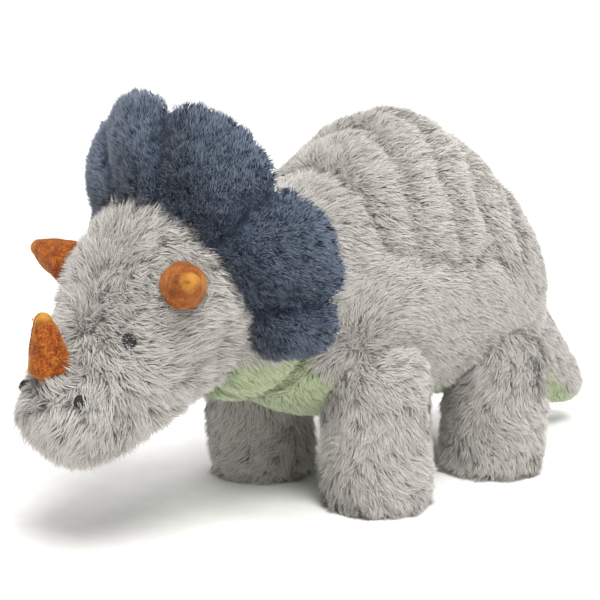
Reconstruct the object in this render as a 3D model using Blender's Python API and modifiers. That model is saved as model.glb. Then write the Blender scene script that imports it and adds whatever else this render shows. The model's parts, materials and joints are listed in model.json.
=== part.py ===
"""Stuffed horned dinosaur: plush covers sewn over fibre fillings, standing on four stubby legs.

The nose points to -Y and the tail to +Y, +Z is up, and the left side is +X. The torso is the base. The
neck ball turns in the torso's front socket, the head nods on the neck ball, the four legs swing at the
hips and the tail wags. Every padded shape is a Form, a loft of elliptical sections along a bent spine.
Covers are curved plates that follow a Form, and fillings are the same Form set in by the cover.
"""

import math

import bmesh
import bpy
import numpy as np
from mathutils import Matrix, Vector

# Driving dimensions, in metres and degrees.
SHIFT_Y = 0.0313            # moves the whole toy so that its box is centred on the origin
PLUSH = 0.006               # thickness of a long-pile plush cover, pile pressed flat
FRILL_PLUSH = 0.003         # thickness of the frill's shorter plush
VELOUR = 0.0018             # thickness of the horns' velour
SEAM_GAP = 0.0005           # between two covers along a seam
FILL_GAP = 0.0022           # between a cover and the filling in it
REST_GAP = 0.0004           # between a sewn-on piece and the cover under it
SWING_GAP = 0.0015          # between a moving piece and its socket

TORSO_LENGTH = 0.224
TORSO_HALF_WIDTH = 0.083
TORSO_FRONT_Y = -0.111
BACK_HEIGHT = 0.237
BELLY_HEIGHT = 0.043

LEG_SPREAD = 0.050          # each leg's centre from the middle plane
FRONT_LEG_Y = -0.053
HIP_HEIGHT = 0.074
HIP_RADIUS = 0.035
FOOT_RADIUS = 0.036
SOLE_RADIUS = 0.0265
FOOT_ROUNDING = 0.014
LEG_SWING = 10.0

NECK_Y = -0.127
NECK_HEIGHT = 0.125
NECK_RADIUS = 0.057
NECK_PITCH = 15.0
NECK_HOLE = 0.012           # radius of the openings at the ends of the neck cover
NECK_TURN = 12.0

HEAD_Y = -0.160             # centre of the ring where head and frill meet
HEAD_HEIGHT = 0.142
HEAD_PITCH = 28.0
HEAD_LENGTH = 0.126
HEAD_BACK = 0.045
HEAD_HALF_WIDTH = 0.058
HEAD_HALF_HEIGHT = 0.061
HEAD_NOD = 10.0

FRILL_THICKNESS = 0.024
FRILL_SEAM_THICKNESS = 0.0088
FRILL_RIM_THICKNESS = 0.0068
# Degrees round the head of the seams between the lobes, which lean to one side.
FRILL_ROOT_SEAMS = (-100.0, -57.0, -19.0, 16.0, 57.0, 100.0)
FRILL_RIM_SEAMS = (-100.0, -70.0, -35.0, 5.0, 57.0, 100.0)
FRILL_END = (137.0, 119.0)  # where the frill stops, at its root and at its rim
FRILL_LOBES = (0.061, 0.060, 0.060, 0.047)
FRILL_NOTCHES = (0.054, 0.048, 0.046, 0.040)
FRILL_LEAN = (44.0, 26.0)   # how far the frill leans back, at the top and at its lower ends

BROW_HORN_LENGTH = 0.033
BROW_HORN_BASE = 0.0135
NOSE_HORN_LENGTH = 0.032
NOSE_HORN_BASE = 0.0125
HORN_TIP = 0.0055
EYE_RADIUS = 0.004
NOSTRIL_RADIUS = 0.0035
PAD_HEIGHT = 0.0022
# Where the face's pieces sit: share of the head's length, and degrees round from the forehead.
BROW_HORN_SHARE = 0.25
BROW_HORN_ANGLE = 59.0
BROW_HORN_AIMS = {"left": (0.81, -0.53, 0.24), "right": (-0.95, -0.10, 0.22)}
NOSE_HORN_SHARE = 0.79
NOSE_HORN_AIM = (0.0, -0.16, 0.987)
EYE_SHARE = 0.55
EYE_ANGLE = 45.0
NOSTRIL_SHARE = 0.85
NOSTRIL_ANGLE = 44.5

TAIL_DEPTH = 0.013          # from the torso's back end in to the tail's joint
TAIL_Y = TORSO_FRONT_Y + TORSO_LENGTH - TAIL_DEPTH
TAIL_HEIGHT = 0.103
TAIL_LENGTH = 0.134
TAIL_RADIUS = 0.033
TAIL_WAG = 18.0
TAIL_PLUSH = 0.005

HIND_LEG_ROOM = 0.007       # from the thigh's back to the tail's joint, along the body
HIND_LEG_Y = TAIL_Y - HIND_LEG_ROOM - HIP_RADIUS

# Shape tables, as shares of the dimensions above.
# Torso: share of length, back height, belly height and half width at each station.
TORSO_STATIONS = (
    (0.000, 0.787, 1.52, 0.700),
    (0.107, 0.800, 1.22, 0.795),
    (0.245, 0.865, 1.04, 0.915),
    (0.383, 0.950, 1.00, 0.980),
    (0.522, 1.000, 1.00, 1.000),
    (0.660, 0.958, 1.02, 1.000),
    (0.790, 0.862, 1.08, 0.965),
    (0.877, 0.775, 1.19, 0.870),
    (0.937, 0.690, 1.42, 0.710),
    (0.978, 0.600, 1.76, 0.480),
    (1.000, 0.480, 2.50, 0.030),
)
# Belly seam: share of torso length, and degrees round from the ridge to the seam.
BELLY_SEAM = ((0.0, 118.0), (0.15, 130.0), (0.35, 140.0), (0.75, 143.0), (1.0, 130.0))
# Head: share of length, and of half height for the section's rise, then shares of the two halves.
HEAD_STATIONS = (
    (0.000, 0.05, 1.00, 1.00),
    (0.200, 0.05, 0.93, 1.00),
    (0.390, -0.06, 0.80, 0.95),
    (0.560, -0.18, 0.67, 0.86),
    (0.730, -0.26, 0.56, 0.75),
    (0.865, -0.28, 0.48, 0.65),
    (0.950, -0.27, 0.37, 0.50),
    (0.985, -0.25, 0.23, 0.32),
    (1.000, -0.24, 0.03, 0.04),
)
CHIN_SEAM = 132.0
THROAT_SEAM = 112.0
# Tail: share of length, degrees of droop of the section there, and share of the radius.
TAIL_STATIONS = (
    (0.000, 38.0, 1.00),
    (0.250, 42.0, 0.97),
    (0.500, 45.0, 0.88),
    (0.720, 38.0, 0.74),
    (0.880, 28.0, 0.55),
    (0.970, 22.0, 0.32),
    (1.000, 20.0, 0.06),
)
TAIL_SEAM = 118.0

LEGS = (
    ("leg_front_left", 1.0, FRONT_LEG_Y),
    ("leg_front_right", -1.0, FRONT_LEG_Y),
    ("leg_hind_left", 1.0, HIND_LEG_Y),
    ("leg_hind_right", -1.0, HIND_LEG_Y),
)

RINGS = 15                  # sections along a torso or head panel
SIDES = 16                  # points round a whole section

PLUSH_GREY = (0.54, 0.52, 0.48)
SLATE_BLUE = (0.075, 0.10, 0.145)
SAGE_GREEN = (0.30, 0.35, 0.235)
OCHRE = (0.48, 0.115, 0.018)
FIBRE_WHITE = (0.85, 0.85, 0.83)
THREAD_BLACK = (0.02, 0.02, 0.022)


def spline(keys, values, at):
    """Smooth values through the keys: a Catmull-Rom curve that keeps its end slopes."""
    keys = np.asarray(keys, float)
    values = np.asarray(values, float)
    slopes = np.gradient(values, keys, axis=0)
    at = np.clip(np.asarray(at, float), keys[0], keys[-1])
    i = np.clip(np.searchsorted(keys, at, side="right") - 1, 0, len(keys) - 2)
    span = keys[i + 1] - keys[i]
    s = (at - keys[i]) / span
    if values.ndim > 1:
        s = s[..., None]
        span = span[..., None]
    return (
        (2 * s**3 - 3 * s**2 + 1) * values[i]
        + (s**3 - 2 * s**2 + s) * span * slopes[i]
        + (3 * s**2 - 2 * s**3) * values[i + 1]
        + (s**3 - s**2) * span * slopes[i + 1]
    )


class Form:
    """A padded shape: elliptical sections along a bent spine in the middle plane.

    Each station is (centre y, centre z, pitch, half width, half height). Pitch is the angle in degrees
    by which the section's own up direction leans towards -Y. Angles round a section start at its top
    and grow towards +X.
    """

    def __init__(self, stations):
        self.stations = np.array(stations, float)
        self.last = len(stations) - 1.0
        self.facing = 1.0
        middle = np.array([0.5 * self.last])
        centre = spline(np.arange(self.last + 1), self.stations, middle)[0, :2]
        top = self.point(middle, np.zeros(1))[0]
        outward = self.normal(middle, np.zeros(1))[0]
        if np.dot(top[1:] - centre, outward[1:]) < 0:
            self.facing = -1.0

    def point(self, t, angle):
        t = np.asarray(t, float)
        y, z, pitch, wide, high = spline(np.arange(self.last + 1), self.stations, t).T
        lean = np.radians(pitch)
        up = high * np.cos(angle)
        return np.stack(
            [wide * np.sin(angle), y - up * np.sin(lean), z + up * np.cos(lean)], axis=-1
        )

    def normal(self, t, angle):
        step = 1e-3
        t = np.asarray(t, float)
        low = np.clip(t - step, 0.0, self.last)
        high = np.clip(t + step, 0.0, self.last)
        along = self.point(high, angle) - self.point(low, angle)
        around = self.point(t, angle + step) - self.point(t, angle - step)
        outward = np.cross(along, around)
        return self.facing * outward / np.linalg.norm(outward, axis=-1, keepdims=True)

    def offset(self, t, angle, distance):
        return self.point(t, angle) + distance * self.normal(t, angle)

    def seam_step(self, t, angle):
        """The angle that half a seam gap takes up at this place."""
        step = 1e-3
        stretch = np.linalg.norm(self.point(t, angle + step) - self.point(t, angle), axis=-1)
        return 0.5 * SEAM_GAP * step / stretch

    def station_near(self, width_at_least, from_end):
        """The first place from an end where the section is at least this wide."""
        places = np.linspace(0.0, self.last, 400)
        if from_end:
            places = places[::-1]
        wide = spline(np.arange(self.last + 1), self.stations, places)[:, 3]
        return float(places[np.argmax(wide >= width_at_least)])


def dome(y, z, pitch, radius, facing, count=5):
    """Stations of a half ball, from its pole towards its equator. facing is -1 for -Y and +1 for +Y."""
    found = []
    for i in range(count):
        turn = math.radians(4.0 + (86.0 - 86.0 / count) * i / (count - 1))
        reach = facing * radius * math.cos(turn)
        across = radius * math.sin(turn)
        lean = math.radians(pitch)
        found.append(
            (y + reach * math.cos(lean), z + reach * math.sin(lean), pitch, across, across)
        )
    return found


def closed_mesh(name, points, faces):
    mesh = bpy.data.meshes.new(name)
    mesh.from_pydata([tuple(p) for p in points], [], faces)
    work = bmesh.new()
    work.from_mesh(mesh)
    bmesh.ops.recalc_face_normals(work, faces=work.faces)
    if work.calc_volume(signed=True) < 0:
        bmesh.ops.reverse_faces(work, faces=work.faces)
    work.to_mesh(mesh)
    work.free()
    mesh.shade_smooth()
    mesh.set_sharp_from_angle(angle=math.radians(50.0))
    return mesh


def grid_faces(rows, columns, first=0, wrap=False):
    faces = []
    for r in range(rows - 1):
        for c in range(columns if wrap else columns - 1):
            d = (c + 1) % columns
            a = first + r * columns
            faces.append((a + c, a + d, a + columns + d, a + columns + c))
    return faces


def plate_mesh(name, outer, inner):
    """A closed plate between two grids of points with the same rows and columns."""
    rows, columns = outer.shape[:2]
    count = rows * columns
    points = np.concatenate([outer.reshape(-1, 3), inner.reshape(-1, 3)])
    faces = grid_faces(rows, columns) + grid_faces(rows, columns, count)
    rim = [c for c in range(columns)]
    rim += [r * columns + columns - 1 for r in range(1, rows)]
    rim += [(rows - 1) * columns + c for c in range(columns - 2, -1, -1)]
    rim += [r * columns for r in range(rows - 2, 0, -1)]
    for i, a in enumerate(rim):
        b = rim[(i + 1) % len(rim)]
        faces.append((a, b, count + b, count + a))
    return closed_mesh(name, points, faces)


def form_mesh(name, form, distance=0.0, start=0.0, end=None, rings=14, sides=SIDES):
    """The whole form as one closed solid, grown by distance, with fans over both ends."""
    end = form.last if end is None else end
    t = np.linspace(start, end, rings)
    angles = np.linspace(0.0, 2 * np.pi, sides, endpoint=False)
    grid_t, grid_a = np.meshgrid(t, angles, indexing="ij")
    points = form.offset(grid_t.ravel(), grid_a.ravel(), distance).reshape(rings, sides, 3)
    caps = np.stack([points[0].mean(axis=0), points[-1].mean(axis=0)])
    faces = grid_faces(rings, sides, wrap=True)
    first = rings * sides
    for c in range(sides):
        d = (c + 1) % sides
        faces.append((first, c, d))
        faces.append((first + 1, (rings - 1) * sides + c, (rings - 1) * sides + d))
    return closed_mesh(name, np.concatenate([points.reshape(-1, 3), caps]), faces)


def panel_mesh(name, form, start, end, low, high, thickness, rings=RINGS, columns=9):
    """A cover panel: the stretch of a form between two seams, given as functions of the place."""
    t = np.linspace(start, end, rings)
    first = low(t)
    last = high(t)
    first = first + form.seam_step(t, first)
    last = last - form.seam_step(t, last)
    share = np.linspace(0.0, 1.0, columns)
    angles = first[:, None] + (last - first)[:, None] * share[None, :]
    places = np.repeat(t[:, None], columns, axis=1)
    outer = form.point(places.ravel(), angles.ravel()).reshape(rings, columns, 3)
    inner = form.offset(places.ravel(), angles.ravel(), -thickness).reshape(rings, columns, 3)
    return plate_mesh(name, outer, inner)


def material(name, colour, roughness):
    made = bpy.data.materials.new(name)
    made.use_nodes = True
    shader = made.node_tree.nodes["Principled BSDF"]
    shader.inputs["Base Color"].default_value = (*colour, 1.0)
    shader.inputs["Roughness"].default_value = roughness
    shader.inputs["Metallic"].default_value = 0.0
    made.diffuse_color = (*colour, 1.0)
    return made


class Toy:
    """Collections, joint empties and the pieces added so far."""

    def __init__(self):
        for old in list(bpy.data.objects):
            bpy.data.objects.remove(old, do_unlink=True)
        self.parts = bpy.data.collections.new("stuffed_dinosaur")
        self.cutters = bpy.data.collections.new("cutters")
        for collection in (self.parts, self.cutters):
            bpy.context.scene.collection.children.link(collection)
        self.finish = {
            "grey": material("grey_long_pile_plush", PLUSH_GREY, 0.95),
            "blue": material("slate_blue_plush", SLATE_BLUE, 0.95),
            "green": material("sage_green_plush", SAGE_GREEN, 0.95),
            "ochre": material("ochre_velour", OCHRE, 0.85),
            "fibre": material("polyester_fibre", FIBRE_WHITE, 1.0),
            "thread": material("black_thread", THREAD_BLACK, 0.6),
        }
        self.joints = {}

    def joint(self, name, place):
        """An empty on a joint's axis. The pieces of the moving body hang on it."""
        empty = bpy.data.objects.new(name, None)
        empty.location = place
        empty.empty_display_size = 0.02
        self.parts.objects.link(empty)
        self.joints[name] = empty
        return empty

    def add(self, name, mesh, finish, joint=None, matrix=None):
        mesh.materials.clear()
        mesh.materials.append(self.finish[finish])
        piece = bpy.data.objects.new(name, mesh)
        self.parts.objects.link(piece)
        place = matrix if matrix is not None else Matrix.Identity(4)
        if joint:
            piece.parent = self.joints[joint]
            place = Matrix.Translation(-self.joints[joint].location) @ place
        piece.matrix_local = place
        return piece

    def cutter(self, name, mesh, matrix=None):
        tool = bpy.data.objects.new(name, mesh)
        self.cutters.objects.link(tool)
        tool.hide_render = True
        tool.display_type = "WIRE"
        if matrix is not None:
            tool.matrix_local = matrix
        return tool


def cut(piece, *tools, solver="EXACT"):
    for tool in tools:
        boolean = piece.modifiers.new(tool.name, "BOOLEAN")
        boolean.operation = "DIFFERENCE"
        boolean.solver = solver
        boolean.object = tool


def ball_mesh(name, centre, radius, across=32, up=20):
    work = bmesh.new()
    bmesh.ops.create_uvsphere(work, u_segments=across, v_segments=up, radius=radius)
    bmesh.ops.translate(work, verts=work.verts, vec=centre)
    mesh = bpy.data.meshes.new(name)
    work.to_mesh(mesh)
    work.free()
    return mesh


def swept_hull(name, points, pivot, axis, reach):
    """A convex solid round a shape and its copies turned by reach degrees each way about a joint."""
    pivot = Vector(pivot)
    work = bmesh.new()
    for angle in (-reach, 0.0, reach):
        turn = Matrix.Rotation(math.radians(angle), 3, axis)
        for p in points:
            work.verts.new(turn @ (Vector(p) - pivot) + pivot)
    bmesh.ops.remove_doubles(work, verts=work.verts, dist=0.001)
    made = bmesh.ops.convex_hull(work, input=work.verts)
    inside = set(made["geom_interior"]) | set(made["geom_unused"])
    bmesh.ops.delete(
        work, geom=[g for g in inside if isinstance(g, bmesh.types.BMVert)], context="VERTS"
    )
    bmesh.ops.recalc_face_normals(work, faces=work.faces)
    mesh = bpy.data.meshes.new(name)
    work.to_mesh(mesh)
    work.free()
    return mesh


def turned_object(toy, name, profile, finish, joint, matrix, steps=16):
    """A turned piece: its profile runs down the outer side, and the Screw modifier turns it."""
    mesh = bpy.data.meshes.new(name)
    points = [(r, 0.0, z) for r, z in profile]
    mesh.from_pydata(points, [(i, i + 1) for i in range(len(points) - 1)], [])
    piece = toy.add(name, mesh, finish, joint, matrix)
    screw = piece.modifiers.new("turn", "SCREW")
    screw.axis = "Z"
    screw.steps = steps
    screw.render_steps = steps
    screw.use_merge_vertices = True
    screw.merge_threshold = 1e-5
    screw.use_smooth_shade = True
    return piece


def torso_form():
    stations = []
    for share, back, belly, wide in TORSO_STATIONS:
        top = back * BACK_HEIGHT
        bottom = belly * BELLY_HEIGHT
        y = SHIFT_Y + TORSO_FRONT_Y + share * TORSO_LENGTH
        stations.append((y, (top + bottom) / 2, 0.0, wide * TORSO_HALF_WIDTH, (top - bottom) / 2))
    y, z, _, wide, _ = stations[-1]
    stations[-1] = (y, z, 0.0, wide, wide)
    return Form(stations)


def head_form():
    lean = math.radians(HEAD_PITCH)
    forward = np.array([-math.cos(lean), -math.sin(lean)])
    upward = np.array([-math.sin(lean), math.cos(lean)])
    centre = np.array([SHIFT_Y + HEAD_Y, HEAD_HEIGHT])
    stations = []
    for turn in (86.0, 70.0, 52.0, 34.0, 16.0):
        reach = -HEAD_BACK * math.sin(math.radians(turn))
        share = math.cos(math.radians(turn))
        y, z = centre + reach * forward + HEAD_STATIONS[0][1] * HEAD_HALF_HEIGHT * upward
        stations.append((y, z, HEAD_PITCH, share * HEAD_HALF_WIDTH, share * HEAD_HALF_HEIGHT))
    for share, rise, high, wide in HEAD_STATIONS:
        y, z = centre + share * HEAD_LENGTH * forward + rise * HEAD_HALF_HEIGHT * upward
        stations.append((y, z, HEAD_PITCH, wide * HEAD_HALF_WIDTH, high * HEAD_HALF_HEIGHT))
    return Form(stations)


def neck_form():
    y = SHIFT_Y + NECK_Y
    back = dome(y, NECK_HEIGHT, NECK_PITCH, NECK_RADIUS, 1.0)
    front = dome(y, NECK_HEIGHT, NECK_PITCH, NECK_RADIUS, -1.0)
    return Form(back + [(y, NECK_HEIGHT, NECK_PITCH, NECK_RADIUS, NECK_RADIUS)] + front[::-1])


def tail_form():
    y = SHIFT_Y + TAIL_Y
    z = TAIL_HEIGHT
    droop = TAIL_STATIONS[0][1]
    stations = dome(y, z, -droop, TAIL_RADIUS, -1.0)
    last = 0.0
    for share, droop, size in TAIL_STATIONS:
        step = (share - last) * TAIL_LENGTH
        last = share
        y += step * math.cos(math.radians(droop))
        z -= step * math.sin(math.radians(droop))
        stations.append((y, z, -droop, size * TAIL_RADIUS, size * TAIL_RADIUS))
    return Form(stations)


def belly_seam(t):
    """Angle of the belly seam at a place along the torso."""
    shares = np.interp(t, np.arange(len(TORSO_STATIONS)), [s[0] for s in TORSO_STATIONS])
    seam = np.array(BELLY_SEAM)
    return np.radians(spline(seam[:, 0], seam[:, 1], shares))


def steady(degrees):
    """A seam that stays at one angle all along a form."""
    return lambda t: np.full(np.shape(t), math.radians(degrees))


def mirrored(seam):
    return lambda t: 2 * np.pi - seam(t)


def negative(seam):
    return lambda t: -seam(t)


def add_torso(toy, form, sockets):
    both = [sockets["neck"], sockets["tail"]]
    legs = {
        "left": [sockets["leg_front_left"], sockets["leg_hind_left"]],
        "right": [sockets["leg_front_right"], sockets["leg_hind_right"]],
    }
    end = form.station_near(0.012, from_end=True)
    ridge = steady(0.0)
    sides = {"left": (ridge, belly_seam), "right": (negative(belly_seam), ridge)}
    for side, (low, high) in sides.items():
        name = f"torso_side_{side}"
        mesh = panel_mesh(name, form, 0.0, end, low, high, PLUSH, columns=10)
        cut(toy.add(name, mesh, "grey"), *both, *legs[side])
    mesh = panel_mesh(
        "belly_panel", form, 0.0, end, belly_seam, mirrored(belly_seam), PLUSH, columns=7
    )
    cut(toy.add("belly_panel", mesh, "green"), *both, *legs["left"], *legs["right"])
    inset = -(PLUSH + FILL_GAP)
    mesh = form_mesh("torso_filling", form, inset, 0.45, form.last - 0.4, 11, 12)
    filling = toy.add("torso_filling", mesh, "fibre")
    cut(filling, *both, *legs["left"], *legs["right"], solver="MANIFOLD")


def add_neck(toy, form):
    start = form.station_near(NECK_HOLE, from_end=False)
    end = form.station_near(NECK_HOLE, from_end=True)
    seam = steady(THROAT_SEAM)
    mesh = panel_mesh("neck_cover", form, start, end, negative(seam), seam, PLUSH, 10, 12)
    toy.add("neck_cover", mesh, "grey", "neck_turn")
    mesh = panel_mesh("throat_panel", form, start, end, seam, mirrored(seam), PLUSH, 10, 8)
    toy.add("throat_panel", mesh, "green", "neck_turn")
    mesh = form_mesh("neck_filling", form, -(PLUSH + FILL_GAP), rings=11)
    toy.add("neck_filling", mesh, "fibre", "neck_turn")


def add_head(toy, form, ball):
    start = form.station_near(0.006, from_end=False)
    end = form.station_near(0.003, from_end=True)
    seam = steady(CHIN_SEAM)
    ridge = steady(0.0)
    sides = {"left": (ridge, seam), "right": (negative(seam), ridge)}
    for side, (low, high) in sides.items():
        name = f"head_side_{side}"
        mesh = panel_mesh(name, form, start, end, low, high, PLUSH, columns=9)
        cut(toy.add(name, mesh, "grey", "head_nod"), ball)
    mesh = panel_mesh("chin_panel", form, start, end, seam, mirrored(seam), PLUSH, columns=7)
    cut(toy.add("chin_panel", mesh, "grey", "head_nod"), ball)
    mesh = form_mesh("head_filling", form, -(PLUSH + FILL_GAP))
    cut(toy.add("head_filling", mesh, "fibre", "head_nod"), ball)


class Frill:
    """The quilted neck frill: a scalloped cone of two panels with a puff of filling in each lobe."""

    COLUMNS = 5
    ROWS = 5
    SUNK = 0.006            # how far the two panels reach into the head before they are trimmed

    def __init__(self, head):
        self.head = head
        self.ring = 5.0     # the head station where head and frill meet
        lean = math.radians(HEAD_PITCH)
        self.up = np.array([0.0, -math.sin(lean), math.cos(lean)])
        self.forward = np.array([0.0, -math.cos(lean), -math.sin(lean)])
        rows = zip(FRILL_END, (FRILL_ROOT_SEAMS, FRILL_RIM_SEAMS))
        self.seams = [[-end, *inner, end] for end, inner in rows]
        self.notches = list(FRILL_NOTCHES[::-1]) + list(FRILL_NOTCHES)
        self.lobes = list(FRILL_LOBES[:0:-1]) + list(FRILL_LOBES)

    def angle(self, lobe, across, outward):
        root, rim = ((1 - across) * s[lobe] + across * s[lobe + 1] for s in self.seams)
        return np.radians((1 - outward) * root + outward * rim)

    def middle(self, lobe, across, outward):
        """A point of the middle surface, and the direction that faces forward there."""
        angle = self.angle(lobe, across, outward)
        turned = np.clip((np.abs(np.degrees(angle)) - 85.0) / 34.0, 0.0, 1.0)
        lean = np.radians(FRILL_LEAN[0] + turned * (FRILL_LEAN[1] - FRILL_LEAN[0]))[:, None]
        spoke = np.outer(np.sin(angle), (1.0, 0.0, 0.0)) + np.outer(np.cos(angle), self.up)
        run = np.cos(lean) * spoke - np.sin(lean) * self.forward
        facing = np.sin(lean) * spoke + np.cos(lean) * self.forward
        notch = (1 - across) * self.notches[lobe] + across * self.notches[lobe + 1]
        rise = self.lobes[lobe] - 0.5 * (self.notches[lobe] + self.notches[lobe + 1])
        length = notch + rise * np.sin(np.pi * across) ** 0.6
        root = self.head.point(np.full(angle.shape, self.ring), angle)
        reach = outward * (length + self.SUNK) - self.SUNK
        return root + reach[:, None] * run, facing

    def half_thickness(self, across, outward):
        lobe = np.clip(np.sin(np.pi * across), 0.0, 1.0) ** 0.7
        root = np.clip(outward / 0.4, 0.0, 1.0) ** 0.8
        full = FRILL_SEAM_THICKNESS + (FRILL_THICKNESS - FRILL_SEAM_THICKNESS) * lobe * root
        rim = FRILL_RIM_THICKNESS
        return 0.5 * (rim + (full - rim) * (1 - outward**4))

    def grid(self, offset):
        """Points over all lobes, moved from the middle surface by offset(across, outward)."""
        rows = []
        for outward in np.linspace(0.0, 1.0, self.ROWS):
            row = []
            for lobe in range(len(self.lobes)):
                last = lobe == len(self.lobes) - 1
                across = np.linspace(0.0, 1.0, self.COLUMNS + 1)
                across = across if last else across[:-1]
                out = np.full(across.shape, outward)
                place, facing = self.middle(lobe, across, out)
                row.append(place + offset(across, out)[:, None] * facing)
            rows.append(np.concatenate(row))
        return np.array(rows)

    def panel(self, name, side):
        def outer(across, outward):
            return side * self.half_thickness(across, outward)

        def inner(across, outward):
            left = self.half_thickness(across, outward) - FRILL_PLUSH
            return side * np.maximum(left, 0.5 * SEAM_GAP)

        return plate_mesh(name, self.grid(outer), self.grid(inner))

    def puff(self, name, lobe):
        """The filling of one lobe, a pillow between the two panels."""
        low, high = 0.18, 0.82
        across, outward = np.meshgrid(
            np.linspace(low, high, 5), np.linspace(0.22, 0.86, 4), indexing="ij"
        )
        place, facing = self.middle(lobe, across.ravel(), outward.ravel())
        half = self.half_thickness(across.ravel(), outward.ravel()) - FRILL_PLUSH - FILL_GAP
        shape = (*across.shape, 3)
        front = (place + half[:, None] * facing).reshape(shape)
        back = (place - half[:, None] * facing).reshape(shape)
        return plate_mesh(name, front, back)


def add_frill(toy, head, head_cut, ball):
    frill = Frill(head)
    for name, side in (("frill_front_panel", 1.0), ("frill_back_panel", -1.0)):
        panel = toy.add(name, frill.panel(name, side), "blue", "head_nod")
        cut(panel, head_cut, ball, solver="MANIFOLD")
    for lobe in range(len(frill.lobes)):
        name = f"frill_filling_{lobe + 1}"
        cut(toy.add(name, frill.puff(name, lobe), "fibre", "head_nod"), head_cut, ball)


def horn_profile(length, base, inset, sunk):
    """Outer line of a blunt horn, from its tip down, set in by inset."""
    tip = HORN_TIP - inset
    top = length - inset
    points = []
    for turn in (0.0, 35.0, 70.0):
        turn = math.radians(turn)
        points.append((tip * math.sin(turn), top - tip * (1 - math.cos(turn))))
    shoulder = top - tip
    for share in (0.3, 0.7, 1.0):
        swell = share**0.85
        wide = tip + (base - inset - tip) * swell
        points.append((wide, shoulder * (1 - share)))
    points.append((base - inset, -sunk))
    return points


def add_horn(toy, name, matrix, length, base, head_cut):
    sunk = 0.008
    outer = horn_profile(length, base, 0.0, sunk)
    inner = horn_profile(length, base, VELOUR, sunk)
    cover = turned_object(toy, f"{name}_cover", outer + inner[::-1], "ochre", "head_nod", matrix, 12)
    core = horn_profile(length, base, VELOUR + FILL_GAP, sunk) + [(0.0, -sunk)]
    filling = turned_object(toy, f"{name}_filling", core, "fibre", "head_nod", matrix, 12)
    for piece in (cover, filling):
        cut(piece, head_cut)


def facing_matrix(place, direction):
    turn = Vector(direction).to_track_quat("Z", "Y")
    return Matrix.Translation(Vector(place)) @ turn.to_matrix().to_4x4()


def on_head(form, share, degrees):
    """A place on the head: a share of its length, and degrees round from the forehead."""
    shares = [s[0] for s in HEAD_STATIONS]
    t = 5.0 + np.interp(share, shares, np.arange(len(shares)))
    t = np.array([t])
    angle = np.array([math.radians(degrees)])
    return form.point(t, angle)[0], form.normal(t, angle)[0]


def add_face(toy, form, head_cut):
    for side, sign in (("left", 1.0), ("right", -1.0)):
        place, _ = on_head(form, BROW_HORN_SHARE, sign * BROW_HORN_ANGLE)
        matrix = facing_matrix(place, BROW_HORN_AIMS[side])
        add_horn(toy, f"brow_horn_{side}", matrix, BROW_HORN_LENGTH, BROW_HORN_BASE, head_cut)
        pads = (
            (f"eye_{side}", EYE_SHARE, EYE_ANGLE, EYE_RADIUS),
            (f"nostril_{side}", NOSTRIL_SHARE, NOSTRIL_ANGLE, NOSTRIL_RADIUS),
        )
        for name, share, angle, radius in pads:
            place, normal = on_head(form, share, sign * angle)
            matrix = facing_matrix(place + REST_GAP * normal, normal)
            profile = pad_profile(radius)
            turned_object(toy, name, profile, "thread", "head_nod", matrix, 10)
    place, _ = on_head(form, NOSE_HORN_SHARE, 0.0)
    matrix = facing_matrix(place, NOSE_HORN_AIM)
    add_horn(toy, "nose_horn", matrix, NOSE_HORN_LENGTH, NOSE_HORN_BASE, head_cut)


def pad_profile(radius):
    """A small domed pad of stitches, flat underneath."""
    points = []
    for turn in (0.0, 45.0, 90.0):
        turn = math.radians(turn)
        points.append((radius * math.sin(turn), 0.4 * PAD_HEIGHT + 0.6 * PAD_HEIGHT * math.cos(turn)))
    points.append((radius, 0.0))
    points.append((0.0, 0.0))
    return points


def leg_profile(inset, floor):
    """Outer line of a leg from its hip dome down to floor, measured from the hip."""
    points = []
    for turn in (0.0, 22.5, 45.0, 67.5):
        turn = math.radians(turn)
        points.append(((HIP_RADIUS - inset) * math.sin(turn), (HIP_RADIUS - inset) * math.cos(turn)))
    points.append((HIP_RADIUS - inset, 0.0))
    knee = -HIP_HEIGHT + FOOT_ROUNDING * 1.6
    points.append((0.5 * (HIP_RADIUS + FOOT_RADIUS) - inset, 0.5 * knee))
    for turn in (0.0, 30.0, 60.0, 90.0):
        turn = math.radians(turn)
        wide = SOLE_RADIUS + (FOOT_RADIUS - SOLE_RADIUS) * math.cos(turn)
        low = knee - FOOT_ROUNDING * 1.6 * math.sin(turn)
        inward = Vector((math.cos(turn), -math.sin(turn))) * inset
        if low - inward.y > floor - HIP_HEIGHT:
            points.append((wide - inward.x, low - inward.y))
    return points


def add_leg(toy, name, joint):
    """A leg cover with its sole sewn in, and its filling, all hung on the hip joint."""
    matrix = Matrix.Translation(toy.joints[joint].location)
    rim = SOLE_RADIUS + SEAM_GAP
    outer = leg_profile(0.0, 0.0)[:-1] + [(rim + 0.0012, -HIP_HEIGHT)]
    inner = leg_profile(PLUSH, PLUSH)
    inner = inner + [(rim, PLUSH - HIP_HEIGHT), (rim, -HIP_HEIGHT)]
    turned_object(toy, f"{name}_cover", outer + inner[::-1], "grey", joint, matrix)
    work = bmesh.new()
    bmesh.ops.create_cone(
        work, cap_ends=True, segments=16, radius1=SOLE_RADIUS, radius2=SOLE_RADIUS, depth=PLUSH
    )
    bmesh.ops.translate(work, verts=work.verts, vec=(0.0, 0.0, 0.5 * PLUSH - HIP_HEIGHT))
    mesh = bpy.data.meshes.new(f"{name}_sole")
    work.to_mesh(mesh)
    work.free()
    toy.add(f"{name}_sole", mesh, "grey", joint, matrix)
    floor = PLUSH + FILL_GAP
    core = leg_profile(PLUSH + FILL_GAP, floor)
    core = core + [(SOLE_RADIUS - FILL_GAP, floor - HIP_HEIGHT), (0.0, floor - HIP_HEIGHT)]
    turned_object(toy, f"{name}_filling", core, "fibre", joint, matrix)


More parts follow.
